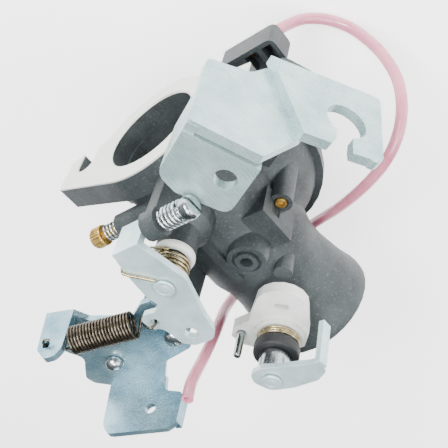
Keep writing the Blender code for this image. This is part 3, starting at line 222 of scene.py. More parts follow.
@dataclass(frozen=True)
class CastFinish(Finish):
    """Cast metal whose flange and horn faces are turned bright after casting."""

    faced: str = "#d5d9cd"
    face_low: float = 0.0005
    face_high: float = 0.0893

    def faces(self, tree: bpy.types.NodeTree, place: bpy.types.NodeSocket) -> bpy.types.NodeSocket:
        """Marks the faces that the lathe has cut, before face_low or beyond face_high along X.

        Args:
            tree: the material's node tree.
            place: the point's place on the object.

        Returns:
            One on the cut faces and zero elsewhere.
        """
        along = add_node(tree, "ShaderNodeSeparateXYZ", None, {0: place}).outputs["X"]
        low = add_node(tree, "ShaderNodeMath", {".operation": "LESS_THAN", 1: self.face_low},
                       {0: along})
        high = add_node(tree, "ShaderNodeMath", {".operation": "GREATER_THAN", 1: self.face_high},
                        {0: along})
        return add_node(tree, "ShaderNodeMath", {".operation": "MAXIMUM"},
                        {0: low.outputs[0], 1: high.outputs[0]}).outputs[0]

    def tint(self, tree: bpy.types.NodeTree, place: bpy.types.NodeSocket,
             colour: bpy.types.NodeSocket) -> bpy.types.NodeSocket:
        """Cast colour with specks, and the bright colour on the worked faces."""
        cast = Finish.tint(self, tree, place, colour)
        return add_node(tree, "ShaderNodeMix", {".data_type": "RGBA", 7: linear(self.faced)},
                        {0: self.faces(tree, place), 6: cast}).outputs[2]

    def polish(self, tree: bpy.types.NodeTree, place: bpy.types.NodeSocket,
               rough: bpy.types.NodeSocket) -> bpy.types.NodeSocket:
        """The worked faces are smoother than the cast skin."""
        return add_node(tree, "ShaderNodeMix", {".data_type": "FLOAT", 3: 0.34},
                        {0: self.faces(tree, place), 2: rough}).outputs[0]


# Die-cast aluminium, tumbled and aged: dark even grey, finely pebbled, with a soft, wide gloss.
CASTING = CastFinish("die_cast_aluminium_tumbled", "#474d4f", "#313638", 0.4, (0.44, 0.60), 11.0, 0.5,
                     0.045, speck="#5a6163", speck_mm=0.8)
# Cold-rolled steel sheet with blue-white zinc plating: cool pale clouds and a tight, bright gloss.
ZINC_SHEET = Finish("zinc_plated_rolled_steel",
                    "#b3c9ca", "#8fa9ab", 0.45, (0.24, 0.36), 9.0, 0.5, 0.003, Grain.ALONG_X)
# The same sheet painted very pale, a lit copy standing in for painted light on the levers and shaft
# heads, with a soft, wide gloss.
LIT_ZINC = Finish("zinc_plated_steel_painted_light", "#cde0e2", "#aac4c8", 0.4, (0.30, 0.42), 8.0, 0.5, 0.004,
                   Grain.ALONG_X, ior=1.6)
# The same sheet painted darker and bluer for the lever bracket: a blue passivation tint with painted
# shade, steel blue that pales in clouds.
BLUE_SHADED_ZINC = Finish("zinc_plated_steel_blue_painted_shade",
                   "#a9c6d0", "#5f8799", 0.75, (0.22, 0.34), 16.0, 0.5, 0.003, Grain.ALONG_Y)
# Deep-drawn bowl in the same plating, with its draw lines running round and up.
DRAWN_ZINC = Finish("zinc_plated_drawn_steel",
                    "#c9d3d4", "#8c999c", 0.85, (0.26, 0.42), 12.0, 0.6, 0.015)
# Turned steel with clear zinc: bright, with fine rings left by the tool.
TURNED_STEEL = Finish("zinc_plated_turned_steel",
                      "#c6cccc", "#868f91", 0.97, (0.14, 0.28), 3.0, 0.3, 0.006, Grain.AROUND_Z)
# Oil-tempered spring wire: nearly black-brown with a greasy, narrow shine.
DARK_WIRE = Finish("oil_tempered_spring_wire",
                   "#6f6657", "#2e2a26", 0.95, (0.22, 0.40), 1.6, 0.25, 0.008)
# Yellow-passivated spring wire: straw and brass tones that change from turn to turn.
STRAW_WIRE = Finish("yellow_passivated_spring_wire",
                    "#c9b994", "#7a6a4a", 0.95, (0.20, 0.36), 1.4, 0.25, 0.008)
# Bright drawn wire: clean pale steel.
BRIGHT_WIRE = Finish("bright_drawn_spring_wire",
                     "#e6ebec", "#98a1a4", 0.95, (0.14, 0.28), 2.0, 0.25, 0.006)
# Free-cutting brass, turned: warm yellow that has begun to brown.
BRASS = Finish("free_cutting_brass_turned", "#d8b468", "#94702f", 0.8, (0.20, 0.38), 2.5, 0.3, 0.01,
               Grain.AROUND_Z, speck="#6f5423", speck_mm=1.2)
# Moulded natural nylon: milky, soft-edged white that lets a little light in.
NYLON = Finish("moulded_natural_nylon", "#dde0db", "#c9cdc7", 0.0, (0.38, 0.52), 7.0, 0.5, 0.01,
               subsurface=0.25, ior=1.53)
# Moulded nitrile rubber: black-grey with a dusty bloom.
RUBBER = Finish("moulded_nitrile_rubber",
                "#242628", "#131415", 0.0, (0.55, 0.72), 3.0, 0.4, 0.015, ior=1.5)
# Extruded soft vinyl hose: milky pink that lets light in, with a glossy skin.
HOSE_VINYL = Finish("extruded_pink_vinyl", "#f2a6ba", "#e88da6", 0.0, (0.14, 0.26), 8.0, 0.6, 0.006,
                    transmission=0.35, coat=0.3, ior=1.53)
# Moulded float in black nitrile foam: matt and finely pitted.
FOAM = Finish("moulded_float_foam", "#2f302c", "#1e1f1c", 0.0, (0.6, 0.8), 4.0, 0.5, 0.03, ior=1.5)


# ---- Surfaces ----
def grid_mesh(name: str, points: np.ndarray, closed_length: bool = False) -> bpy.types.Mesh:
    """Makes a closed mesh from a grid whose rows are closed rings.

    Point (i, j) joins (i + 1, j) and (i, j + 1), and the last point of a row joins its first. The
    first and last rows are closed with a face, unless they are joined to each other.

    Args:
        name: the mesh's name.
        points: an array of rows, columns and 3.
        closed_length: joins the last row to the first, as on a torus.

    Returns:
        The mesh, facing out and smooth-shaded, with its sharp edges marked.
    """
    rows, columns = points.shape[:2]
    index = np.arange(rows * columns).reshape(rows, columns)
    low = index if closed_length else index[:-1]
    high = np.roll(index, -1, axis=0) if closed_length else index[1:]
    quads = np.stack([low, np.roll(low, -1, axis=1), np.roll(high, -1, axis=1), high], axis=-1)
    faces = quads.reshape(-1, 4).tolist()
    if not closed_length:
        faces.append(index[0, ::-1].tolist())
        faces.append(index[-1].tolist())
    mesh = bpy.data.meshes.new(name)
    mesh.from_pydata(points.reshape(-1, 3).tolist(), [], faces)
    mesh.shade_smooth()
    builder = bmesh.new()
    builder.from_mesh(mesh)
    bmesh.ops.recalc_face_normals(builder, faces=builder.faces)
    builder.to_mesh(mesh)
    builder.free()
    mesh.set_sharp_from_angle(angle=SHARP)
    return mesh


def axes_of(axis: Point) -> np.ndarray:
    """Two sides and the axis as rows, for shapes turned about any axis."""
    return np.array(Vector(axis).to_track_quat("Z", "Y").to_matrix().transposed(), float)


def softened(profile: Profile, radius: float, steps: int = 4, ring: bool = False) -> np.ndarray:
    """Rounds the corners of a profile.

    Each corner P becomes the curve (1-t)^2 A + 2 t (1-t) P + t^2 B, where A and B lie a radius, and
    at most 0.45 of an edge, from P on its two edges.

    Args:
        profile: radius and height pairs.
        radius: size of the rounding.
        steps: points for each corner.
        ring: the profile closes on itself.

    Returns:
        An array of points and 2.
    """
    p = np.array(profile, float)
    before, after = np.roll(p, 1, axis=0), np.roll(p, -1, axis=0)
    to_a, to_b = before - p, after - p
    la = np.maximum(np.linalg.norm(to_a, axis=1, keepdims=True), 1e-12)
    lb = np.maximum(np.linalg.norm(to_b, axis=1, keepdims=True), 1e-12)
    a = p + to_a / la * np.minimum(radius, 0.45 * la)
    b = p + to_b / lb * np.minimum(radius, 0.45 * lb)
    t = np.linspace(0.0, 1.0, steps)[None, :, None]
    curve = (1 - t) ** 2 * a[:, None] + 2 * t * (1 - t) * p[:, None] + t ** 2 * b[:, None]
    if ring:
        return curve.reshape(-1, 2)
    return np.concatenate([p[:1], curve[1:-1].reshape(-1, 2), p[-1:]])


@dataclass
class Turned:
    """A piece turned about an axis: radius and height pairs carried round it.

    The point at angle a and height h is place + r cos(a) side + r sin(a) other + h axis, where r
    may be changed by a shaping function of (angle, height, radius), as for a knurl or a hexagon.
    """

    name: str
    profile: Profile
    place: Point
    finish: Finish
    axis: Point = UP
    ring: bool = False
    segments: int = 48
    soft: float = 0.0002
    shape: Shape | None = None
    rows: np.ndarray | None = None

    def build(self) -> bpy.types.Object:
        """Makes the object in its place.

        Returns:
            The object, with its finish.
        """
        rows = softened(self.profile, self.soft, ring=self.ring) if self.rows is None else self.rows
        angle = np.linspace(0.0, 2.0 * np.pi, self.segments, endpoint=False)[None, :]
        radius = np.repeat(rows[:, :1], self.segments, axis=1)
        height = np.repeat(rows[:, 1:], self.segments, axis=1)
        if self.shape is not None:
            radius = self.shape(angle, height, radius)
        side, other, along = axes_of(self.axis)
        points = (np.array(self.place) + (radius * np.cos(angle))[..., None] * side
                  + (radius * np.sin(angle))[..., None] * other + height[..., None] * along)
        return as_object(self.name, grid_mesh(self.name, points, self.ring), self.finish)


def as_object(name: str, mesh: bpy.types.Mesh, finish: Finish) -> bpy.types.Object:
    """Links a mesh as an object at the origin, with its finish.

    Args:
        name: the object's name.
        mesh: its mesh.
        finish: what it is made of.

    Returns:
        The object.
    """
    piece = bpy.data.objects.new(name, mesh)
    bpy.context.scene.collection.objects.link(piece)
    piece.data.materials.clear()
    piece.data.materials.append(finish.build())
    return piece


def smooth_line(points: np.ndarray, steps: int = 12) -> np.ndarray:
    """A Catmull-Rom line through points: each span is the usual cubic of its four neighbours.

    Args:
        points: an array of points and 3.
        steps: points for each span.

    Returns:
        A finer array of points and 3.
    """
    p = np.concatenate([2 * points[:1] - points[1:2], points, 2 * points[-1:] - points[-2:-1]])
    a, b, c, d = p[:-3, None], p[1:-2, None], p[2:-1, None], p[3:, None]
    t = np.linspace(0.0, 1.0, steps, endpoint=False)[None, :, None]
    line = 0.5 * (2 * b + (c - a) * t + (2 * a - 5 * b + 4 * c - d) * t ** 2
                  + (3 * b - a - 3 * c + d) * t ** 3)
    return np.concatenate([line.reshape(-1, 3), points[-1:]])


def evenly(line: np.ndarray, spacing: float) -> np.ndarray:
    """Points at an even spacing along a line, by its running length.

    Args:
        line: an array of points and 3.
        spacing: about how far apart the new points are.

    Returns:
        The new points.
    """
    run = np.concatenate([[0.0], np.cumsum(np.linalg.norm(np.diff(line, axis=0), axis=1))])
    marks = np.linspace(0.0, run[-1], max(3, int(round(run[-1] / spacing)) + 1))
    return np.stack([np.interp(marks, run, line[:, k]) for k in range(3)], axis=1)


def steady_side(tangents: np.ndarray) -> np.ndarray:
    """The direction that stays furthest from all tangents, of many spread over a sphere.

    Direction k has the height 1 - 2 k / count, and is turned by k times the golden angle.

    Args:
        tangents: unit directions along a line.

    Returns:
        One unit direction.
    """
    count = 400
    k = np.arange(count) + 0.5
    z = 1.0 - 2.0 * k / count
    turn = np.pi * (1.0 + 5.0 ** 0.5) * k
    flat = np.sqrt(1.0 - z ** 2)
    tries = np.stack([flat * np.cos(turn), flat * np.sin(turn), z], axis=1)
    return tries[np.argmin(np.abs(tries @ tangents.T).max(axis=1))]


def swept(line: np.ndarray, radius: float | np.ndarray, sides: int = 12) -> np.ndarray:
    """Rings of a round bar along a line: centre + r (cos(a) side + sin(a) other).

    Args:
        line: the centres.
        radius: one radius, or one for each centre.
        sides: points in a ring.

    Returns:
        An array of centres, sides and 3.
    """
    ahead = np.gradient(line, axis=0)
    ahead /= np.linalg.norm(ahead, axis=1, keepdims=True)
    side = np.cross(ahead, steady_side(ahead))
    side /= np.linalg.norm(side, axis=1, keepdims=True)
    other = np.cross(ahead, side)
    angle = np.linspace(0.0, 2.0 * np.pi, sides, endpoint=False)[None, :, None]
    reach = np.broadcast_to(np.asarray(radius, float), (len(line),))[:, None, None]
    return line[:, None] + reach * (np.cos(angle) * side[:, None] + np.sin(angle) * other[:, None])


def helix(radius: float, turns: float, low: float, high: float, start: float = 0.0,
          per_turn: int = 28) -> np.ndarray:
    """A coil about Z whose height grows evenly with its angle.

    Args:
        radius: of the wire's middle.
        turns: number of turns.
        low: height of the first point.
        high: height of the last point.
        start: angle of the first point.
        per_turn: points in a turn.

    Returns:
        The wire's middle line.
    """
    t = np.linspace(0.0, 1.0, int(per_turn * turns) + 1)
    angle = start + 2.0 * np.pi * turns * t
    return np.stack([radius * np.cos(angle), radius * np.sin(angle), low + (high - low) * t], axis=1)


def wire_piece(name: str, line: np.ndarray, radius: float, finish: Finish,
               sides: int = 12) -> bpy.types.Object:
    """A round wire with slightly rounded ends along a line.

    Args:
        name: the object's name.
        line: the wire's middle line.
        radius: the wire's radius.
        finish: what it is made of.
        sides: points round the wire.

    Returns:
        The object.
    """
    reach = np.full(len(line), radius)
    reach[[0, -1]] = radius * 0.6
    return as_object(name, grid_mesh(name, swept(line, reach, sides)), finish)


@dataclass
class Refined:
    """A piece that keeps a frame node's shape, its edges broken as a press or a mould does."""

    name: str
    node: str
    finish: Finish
    edge: float = 0.0003
    steps: int = 3
    limit: float = 33.0

    def build(self) -> bpy.types.Object:
        """Merges the node's loose triangles, joins its flat areas and rounds its edges.

        Returns:
            The object.
        """
        builder = bmesh.new()
        builder.from_mesh(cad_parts[self.node].data)
        bmesh.ops.remove_doubles(builder, verts=builder.verts, dist=2e-6)
        bmesh.ops.dissolve_limit(builder, angle_limit=math.radians(1.5), verts=builder.verts,
                                 edges=builder.edges)
        mesh = bpy.data.meshes.new(self.name)
        builder.to_mesh(mesh)
        builder.free()
        mesh.shade_smooth()
        mesh.set_sharp_from_angle(angle=math.radians(self.limit))
        piece = as_object(self.name, mesh, self.finish)
        bevel = piece.modifiers.new("broken_edges", "BEVEL")
        bevel.width = self.edge
        bevel.segments = self.steps
        bevel.limit_method = "ANGLE"
        bevel.angle_limit = math.radians(self.limit)
        weighted = piece.modifiers.new("flat_faces", "WEIGHTED_NORMAL")
        weighted.keep_sharp = True
        return piece


def engrave(piece: bpy.types.Object, low: Point, high: Point) -> None:
    """Cuts a box out of a piece's mesh, as a driver slot.

    Args:
        piece: the object to cut.
        low: the box's low corner.
        high: its high corner.
    """
    x, y, z = zip(low, high)
    corners = [(a, b, c) for c in z for b in y for a in x]
    faces = [(0, 2, 3, 1), (4, 5, 7, 6), (0, 1, 5, 4), (2, 6, 7, 3), (0, 4, 6, 2), (1, 3, 7, 5)]
    mesh = bpy.data.meshes.new("slot_tool")
    mesh.from_pydata(corners, [], faces)
    tool = bpy.data.objects.new("slot_tool", mesh)
    bpy.context.scene.collection.objects.link(tool)
    cut = piece.modifiers.new("slot", "BOOLEAN")
    cut.operation, cut.solver, cut.object = "DIFFERENCE", "EXACT", tool
    graph = bpy.context.evaluated_depsgraph_get()
    result = bpy.data.meshes.new_from_object(piece.evaluated_get(graph))
    piece.modifiers.remove(cut)
    piece.data = result
    bpy.data.objects.remove(tool)
    piece.data.set_sharp_from_angle(angle=SHARP)


def fit(piece: bpy.types.Object, body: str, slot: str, *nodes: str) -> None:
    """Puts a piece on its body in place of its nodes.

    Args:
        piece: the object.
        body: the body that it rides on.
        slot: not used.
        nodes: the frame nodes that it stands for.
    """
    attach(piece, body)
    if nodes:
        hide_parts(*nodes)
    LOG.info("%s rides on %s", piece.name, body)


def dress(node: str, finish: Finish) -> None:
    """Gives a frame node that stays in view its finish.

    Args:
        node: the node's name.
        finish: what it is made of.
    """
    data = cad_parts[node].data
    data.materials.clear()
    data.materials.append(finish.build())
    LOG.info("%s is dressed", node)


def peened_head(body: str, x: float, low: float) -> None:
    """The hammered end of a shaft, which holds its lever on.

    Args:
        body: the body that it rides on, which names the shaft.
        x: the shaft's axis along X.
        low: the height that the head stands on.
    """
    profile = [(0.0028, low), (0.0031, low + 0.0002), (0.0031, low + 0.0006), (0.0028, low + 0.0009),
               (0.0020, low + 0.0009), (0.0018, low + 0.00075), (0.0016, low + 0.0009),
               (0.0003, low + 0.0010)]
    # The head takes the pale copy of the zinc sheet: painted light.
    piece = Turned(f"{body}_shaft_head", profile, (x, 0.0, 0.0), LIT_ZINC, soft=0.0002)
    fit(piece.build(), body, "steel")


# ---- Studio ----
@dataclass
class Studio:
    """Camera, pale floor and soft lights."""

    eye: Point = (-0.0801, 0.1315, 0.1850)
    right: Point = (0.6049, 0.7777, -0.1708)
    up: Point = (-0.6419, 0.3493, -0.6826)
    back: Point = (-0.4712, 0.5226, 0.7105)
    lens_mm: float = 63.7
    floor_z: float = -0.0560
    floor_half: float = 3.0
    floor_glow: float = 1.6
    room_light: float = 0.9

    def camera(self) -> None:
        """Places the camera above the levers, rolled so that up on the object points down."""
        data = bpy.data.cameras.new("camera")
        data.lens, data.sensor_width = self.lens_mm, 36.0
        data.clip_start, data.clip_end = 0.01, 20.0
        camera = bpy.data.objects.new("camera", data)
        turn = Matrix((self.right, self.up, self.back)).transposed().to_4x4()
        camera.matrix_world = Matrix.Translation(self.eye) @ turn
        bpy.context.scene.collection.objects.link(camera)
        bpy.context.scene.camera = camera

    def floor(self) -> None:
        """A wide flat board, far larger than what the camera sees."""
        count = 9
        u = np.linspace(-self.floor_half, self.floor_half, count)
        x, y = np.meshgrid(u, u)
        points = np.stack([x, y, np.full_like(x, self.floor_z)], axis=-1)
        index = np.arange(count ** 2).reshape(count, count)
        quads = np.stack([index[:-1, :-1], index[:-1, 1:], index[1:, 1:], index[1:, :-1]], axis=-1)
        mesh = bpy.data.meshes.new("floor")
        mesh.from_pydata(points.reshape(-1, 3).tolist(), [], quads.reshape(-1, 4).tolist())
        # Matt painted board, lit from behind: an even near-white whose glow softens the shadows.
        board = Finish("matt_painted_board", "#fdfdfc", "#fafaf9", 0.0, (0.8, 0.95), 60.0, 2.0, 0.01)
        ground = as_object("floor", mesh, board)
        shader = ground.data.materials[0].node_tree.nodes["Principled BSDF"]
        shader.inputs["Emission Color"].default_value = linear("#fdfdfc")
        shader.inputs["Emission Strength"].default_value = self.floor_glow

    def light(self, name: str, place: Point, size: float, power: float) -> None:
        """A square soft light aimed at the middle of the object.

        Args:
            name: the light's name.
            place: where it hangs.
            size: its side.
            power: its power in watts.
        """
        data = bpy.data.lights.new(name, "AREA")
        data.shape, data.size, data.energy = "SQUARE", size, power
        lamp = bpy.data.objects.new(name, data)
        aim = Vector((0.035, 0.0, 0.010)) - Vector(place)
        turn = aim.to_track_quat("-Z", "Y").to_matrix().to_4x4()
        lamp.matrix_world = Matrix.Translation(place) @ turn
        bpy.context.scene.collection.objects.link(lamp)

    def build(self) -> None:
        """Lights, floor, and a room that is bright behind the camera and dim ahead of it."""
        self.floor()
        self.light("key", (-0.60, 0.10, 0.55), 0.35, 11.0)
        self.light("fill", (0.25, 0.70, 0.50), 0.60, 6.0)
        self.light("top", (-0.15, 0.25, 1.00), 0.60, 13.0)
        world = bpy.data.worlds.new("room")
        bpy.context.scene.world = world
        world.use_nodes = True
        tree = world.node_tree
        way = add_node(tree, "ShaderNodeTexCoord").outputs["Generated"]
        toward = add_node(tree, "ShaderNodeVectorMath",
                          {".operation": "DOT_PRODUCT", 1: (-0.55, 0.60, 0.40)},
                          {0: way}).outputs["Value"]
        rise = add_node(tree, "ShaderNodeMapRange", {1: -0.25, 2: 0.75}, {0: toward})
        sky = add_node(tree, "ShaderNodeMix",
                       {".data_type": "RGBA", 6: linear("#3c4a50"), 7: linear("#ffffff")},
                       {0: rise.outputs[0]})
        tree.links.new(sky.outputs[2], tree.nodes["Background"].inputs["Color"])
        tree.nodes["Background"].inputs["Strength"].default_value = self.room_light


# ---- Hose ----
@dataclass
class VentHose:
    """The soft vent hose on its barbed nipple, along its free route to its open end."""

    radius: float = 0.0019
    bore: float = 0.0011
    sides: int = 28
    start: Point = (0.0087, 0.0312, -0.0352)
    route: tuple[Point, ...] = (
        (0.0097, 0.0328, -0.0395), (0.0120, 0.0358, -0.0452), (0.0152, 0.0398, -0.0500),
        (0.0200, 0.0447, -0.0522), (0.0258, 0.0503, -0.0505), (0.0310, 0.0548, -0.0452),
        (0.0352, 0.0582, -0.0385), (0.0400, 0.0604, -0.0294), (0.0448, 0.0592, -0.0203),
        (0.0498, 0.0545, -0.0140), (0.0550, 0.0466, -0.0117), (0.0612, 0.0352, -0.0135),
        (0.0680, 0.0222, -0.0185), (0.0740, 0.0085, -0.0240), (0.0785, -0.0062, -0.0262),
        (0.0804, -0.0185, -0.0215), (0.0785, -0.0262, -0.0105), (0.0738, -0.0270, 0.0025),
        (0.0695, -0.0242, 0.0135), (0.0662, -0.0222, 0.0240), (0.0635, -0.0216, 0.0345),
        (0.0611, -0.0219, 0.0453), (0.0605, -0.0212, 0.0525))

    def ahead(self) -> np.ndarray:
        """The direction in which the hose leaves the nipple."""
        way = np.array(self.route[0]) - np.array(self.start)
        return way / np.linalg.norm(way)

    def line(self) -> np.ndarray:
        """The centreline from the nipple's gap to the open end, in points 1.2 mm apart."""
        first = np.array(self.start) + self.ahead() * GAP
        return evenly(smooth_line(np.concatenate([[first], np.array(self.route)])), 0.0012)

    def build(self) -> None:
        """A tube with a wall: its rings run out along the outside and back along the bore."""
        line = self.line()
        outer, inner = swept(line, self.radius, self.sides), swept(line, self.bore, self.sides)
        lip = swept(line, (self.radius + self.bore) / 2.0, self.sides)
        rings = np.concatenate([lip[:1], outer, lip[-1:], inner[::-1]])
        mesh = grid_mesh("vent_hose_tube", rings, closed_length=True)
        hose = as_object("vent_hose_tube", mesh, HOSE_VINYL)
        fit(hose, ROOT, "hose", "vent_hose")

    def nipple(self) -> None:
        """The barbed brass nipple that the hose comes from."""
        foot, ahead = 0.0059, self.ahead()
        profile = [(0.0006, -0.0045), (0.0012, -0.0045), (0.0012, 0.0014), (0.0015, 0.0020),
                   (0.0015, 0.0030), (0.0018, 0.0034), (0.0014, 0.0046), (0.0018, 0.0047),
                   (0.0013, 0.0056), (0.0006, 0.0056)]
        piece = Turned("barbed_nipple", profile, tuple(np.array(self.start) - ahead * foot), BRASS,
                       tuple(ahead), ring=True, soft=0.0001).build()
        fit(piece, ROOT, "brass", "hose_nipple")


# ---- Casting and float chamber ----
@dataclass
class Chamber:
    """The casting, the bowl under it and what the float chamber holds."""

    bowl_x: float = 0.0367
    bowl_low: float = -0.0470
    bowl_r: float = 0.0255
    flange_r: float = 0.0294
    wall: float = 0.0012
    lip: float = -0.0243

    def casting(self) -> None:
        """The body casting with its edges broken."""
        piece = Refined("main_casting", "body_casting", CASTING, 0.0006, 2, 30.0).build()
        fit(piece, ROOT, "casting", "body_casting")

    def bowl(self) -> None:
        """The drawn bowl, one profile with floor, fillet, wall and flange, and its seal."""
        inner = self.bowl_r - self.wall
        low, lip = self.bowl_low, self.lip
        profile = [(0.0034, low), (self.bowl_r - 0.0045, low), (self.bowl_r - 0.0012, low + 0.0012),
                   (self.bowl_r, low + 0.0045), (self.bowl_r, lip - 0.0016),
                   (self.flange_r, lip - 0.0016), (self.flange_r, lip), (inner, lip),
                   (inner, low + 0.0050), (inner - 0.0034, low + self.wall),
                   (0.0034, low + self.wall)]
        piece = Turned("drawn_bowl", profile, (self.bowl_x, 0.0, 0.0), DRAWN_ZINC, ring=True,
                       segments=96, soft=0.0011).build()
        fit(piece, ROOT, "zinc_plate", "float_bowl")
        rim = self.flange_r - 0.0002
        gasket = [(inner, lip + GAP), (rim, lip + GAP), (rim, lip + 0.0015), (inner, lip + 0.0015)]
        ring = Turned("bowl_seal", gasket, (self.bowl_x, 0.0, 0.0), RUBBER, ring=True, segments=96)
        fit(ring.build(), ROOT, "rubber", "bowl_gasket")

    def bolt(self, name: str, node: str, place: Point, axis: Point, head: tuple[float, float],
             washer: tuple[float, float], shank: tuple[float, float], finish: Finish,
             slot: str) -> None:
        """A hexagon-headed bolt with its washer.

        Args:
            name: the piece's name.
            node: the frame node that it stands for.
            place: where its washer seats.
            axis: the way that its shank points.
            head: radius over the corners and thickness of the head.
            washer: radius and thickness of the washer.
            shank: radius and length of the shank.
            finish: what it is made of.
            slot: its material slot.
        """
        (head_r, head_t), (washer_r, washer_t), (shank_r, shank_l) = head, washer, shank
        top = -head_t - washer_t

        def hexagon(angle: np.ndarray, height: np.ndarray, radius: np.ndarray) -> np.ndarray:
            """In the head: corner radius times cos 30 over cos of the angle from a flat's middle."""
            flat = np.cos(np.pi / 6) / np.cos((angle % (np.pi / 3)) - np.pi / 6)
            inside = (height < -washer_t - 1e-5) & (radius > head_r * 0.9)
            return np.where(inside, np.minimum(radius, head_r * flat), radius)

        profile = [(head_r * 0.80, top), (head_r, top + head_r * 0.14), (head_r, -washer_t),
                   (washer_r, -washer_t), (washer_r, 0.0), (shank_r, 0.0),
                   (shank_r, shank_l - 0.0005), (shank_r - 0.0005, shank_l)]
        piece = Turned(name, profile, place, finish, axis, segments=72, soft=0.00015, shape=hexagon)
        fit(piece.build(), ROOT, slot, node)

    def fittings(self) -> None:
        """Bowl bolt, drain screw, pilot jet, and finishes for the inner pieces."""
        self.bolt("bowl_bolt_hex", "bowl_bolt", (self.bowl_x, 0.0, self.bowl_low - GAP), UP,
                  (0.0055, 0.0036), (0.0068, 0.0012), (0.0023, 0.0068), TURNED_STEEL, "steel")
        self.bolt("drain_screw_hex", "drain_screw", (self.bowl_x, -self.bowl_r - GAP, -0.0400),
                  (0.0, 1.0, 0.0), (0.0036, 0.0026), (0.0045, 0.0008), (0.0019, 0.0026), BRASS,
                  "brass")
        tube = [(0.0019, 0.0010), (0.0019, 0.0072), (0.0017, 0.0078), (0.0009, 0.0078),
                (0.0009, 0.0066)]
        jet = Turned("pilot_jet_brass", tube, (0.0393, 0.0218, 0.0), BRASS, soft=0.0001).build()
        fit(jet, ROOT, "brass", "pilot_jet")
        for node in ("emulsion_tube", "main_jet", "needle_seat"):
            dress(node, BRASS)
        for node in ("float_needle", "float_pin"):
            dress(node, TURNED_STEEL)
        fit(Refined("float_moulding", "float", FOAM, 0.0005).build(), "float", "float_foam", "float")

    def build(self) -> None:
        """Builds the casting and all of the chamber."""
        self.casting()
        self.bowl()
        self.fittings()


# ---- Brackets ----
@dataclass
class Brackets:
    """Cable bracket and lever bracket with their screws and rivet."""

    arm_top: float = 0.0410
    posts: tuple[tuple[float, float], ...] = ((0.0365, -0.0185), (0.0455, -0.0172))
    post_screw_low: float = 0.0292

    def pan_head(self, name: str, node: str, x: float, y: float) -> None:
        """A pan-headed screw with a driver slot, standing on the lever bracket.

        Args:
            name: the piece's name.
            node: the frame node that it stands for.
            x: its axis along X.
            y: its axis along Y.
        """
        low, seat, slot_half = self.post_screw_low, self.arm_top + GAP, 0.0003
        profile = [(0.0011, low), (0.0015, low + 0.0006), (0.0015, seat), (0.0029, seat),
                   (0.0030, seat + 0.0007), (0.0024, seat + 0.0014), (0.0008, seat + 0.0017)]
        piece = Turned(name, profile, (x, y, 0.0), TURNED_STEEL, soft=0.0004).build()
        engrave(piece, (x - 0.0040, y - slot_half, seat + 0.0010),
                (x + 0.0040, y + slot_half, seat + 0.0030))
        fit(piece, ROOT, "steel", node)

    def build(self) -> None:
        """Both sheets with broken edges, four screws and the rivet."""
        # The lever bracket takes the darker, bluer copy of the zinc sheet: painted shade.
        for node, finish, edge in (("cable_bracket", ZINC_SHEET, 0.0005),
                                   ("lever_bracket", BLUE_SHADED_ZINC, 0.0004)):
            fit(Refined(f"{node}_sheet", node, finish, edge).build(), ROOT, "zinc_plate", node)
        for k, (x, y) in enumerate(self.posts, 1):
            self.pan_head(f"post_screw_{k}", f"lever_bracket_screw_{k}", x, y)
        for k in (1, 2):
            dress(f"cable_bracket_screw_{k}", TURNED_STEEL)
        low, high = self.arm_top - 0.0023, self.arm_top + GAP
        rivet = [(0.0024, low - 0.0010), (0.0029, low - 0.0004), (0.0029, low), (0.0018, low),
                 (0.0018, high), (0.0030, high), (0.0029, high + 0.0014), (0.0020, high + 0.0025),
                 (0.0008, high + 0.0029)]
        piece = Turned("bracket_rivet", rivet, (0.0462, -0.0430, 0.0), TURNED_STEEL, soft=0.0005)
        fit(piece.build(), ROOT, "steel", "lever_bracket_rivet")


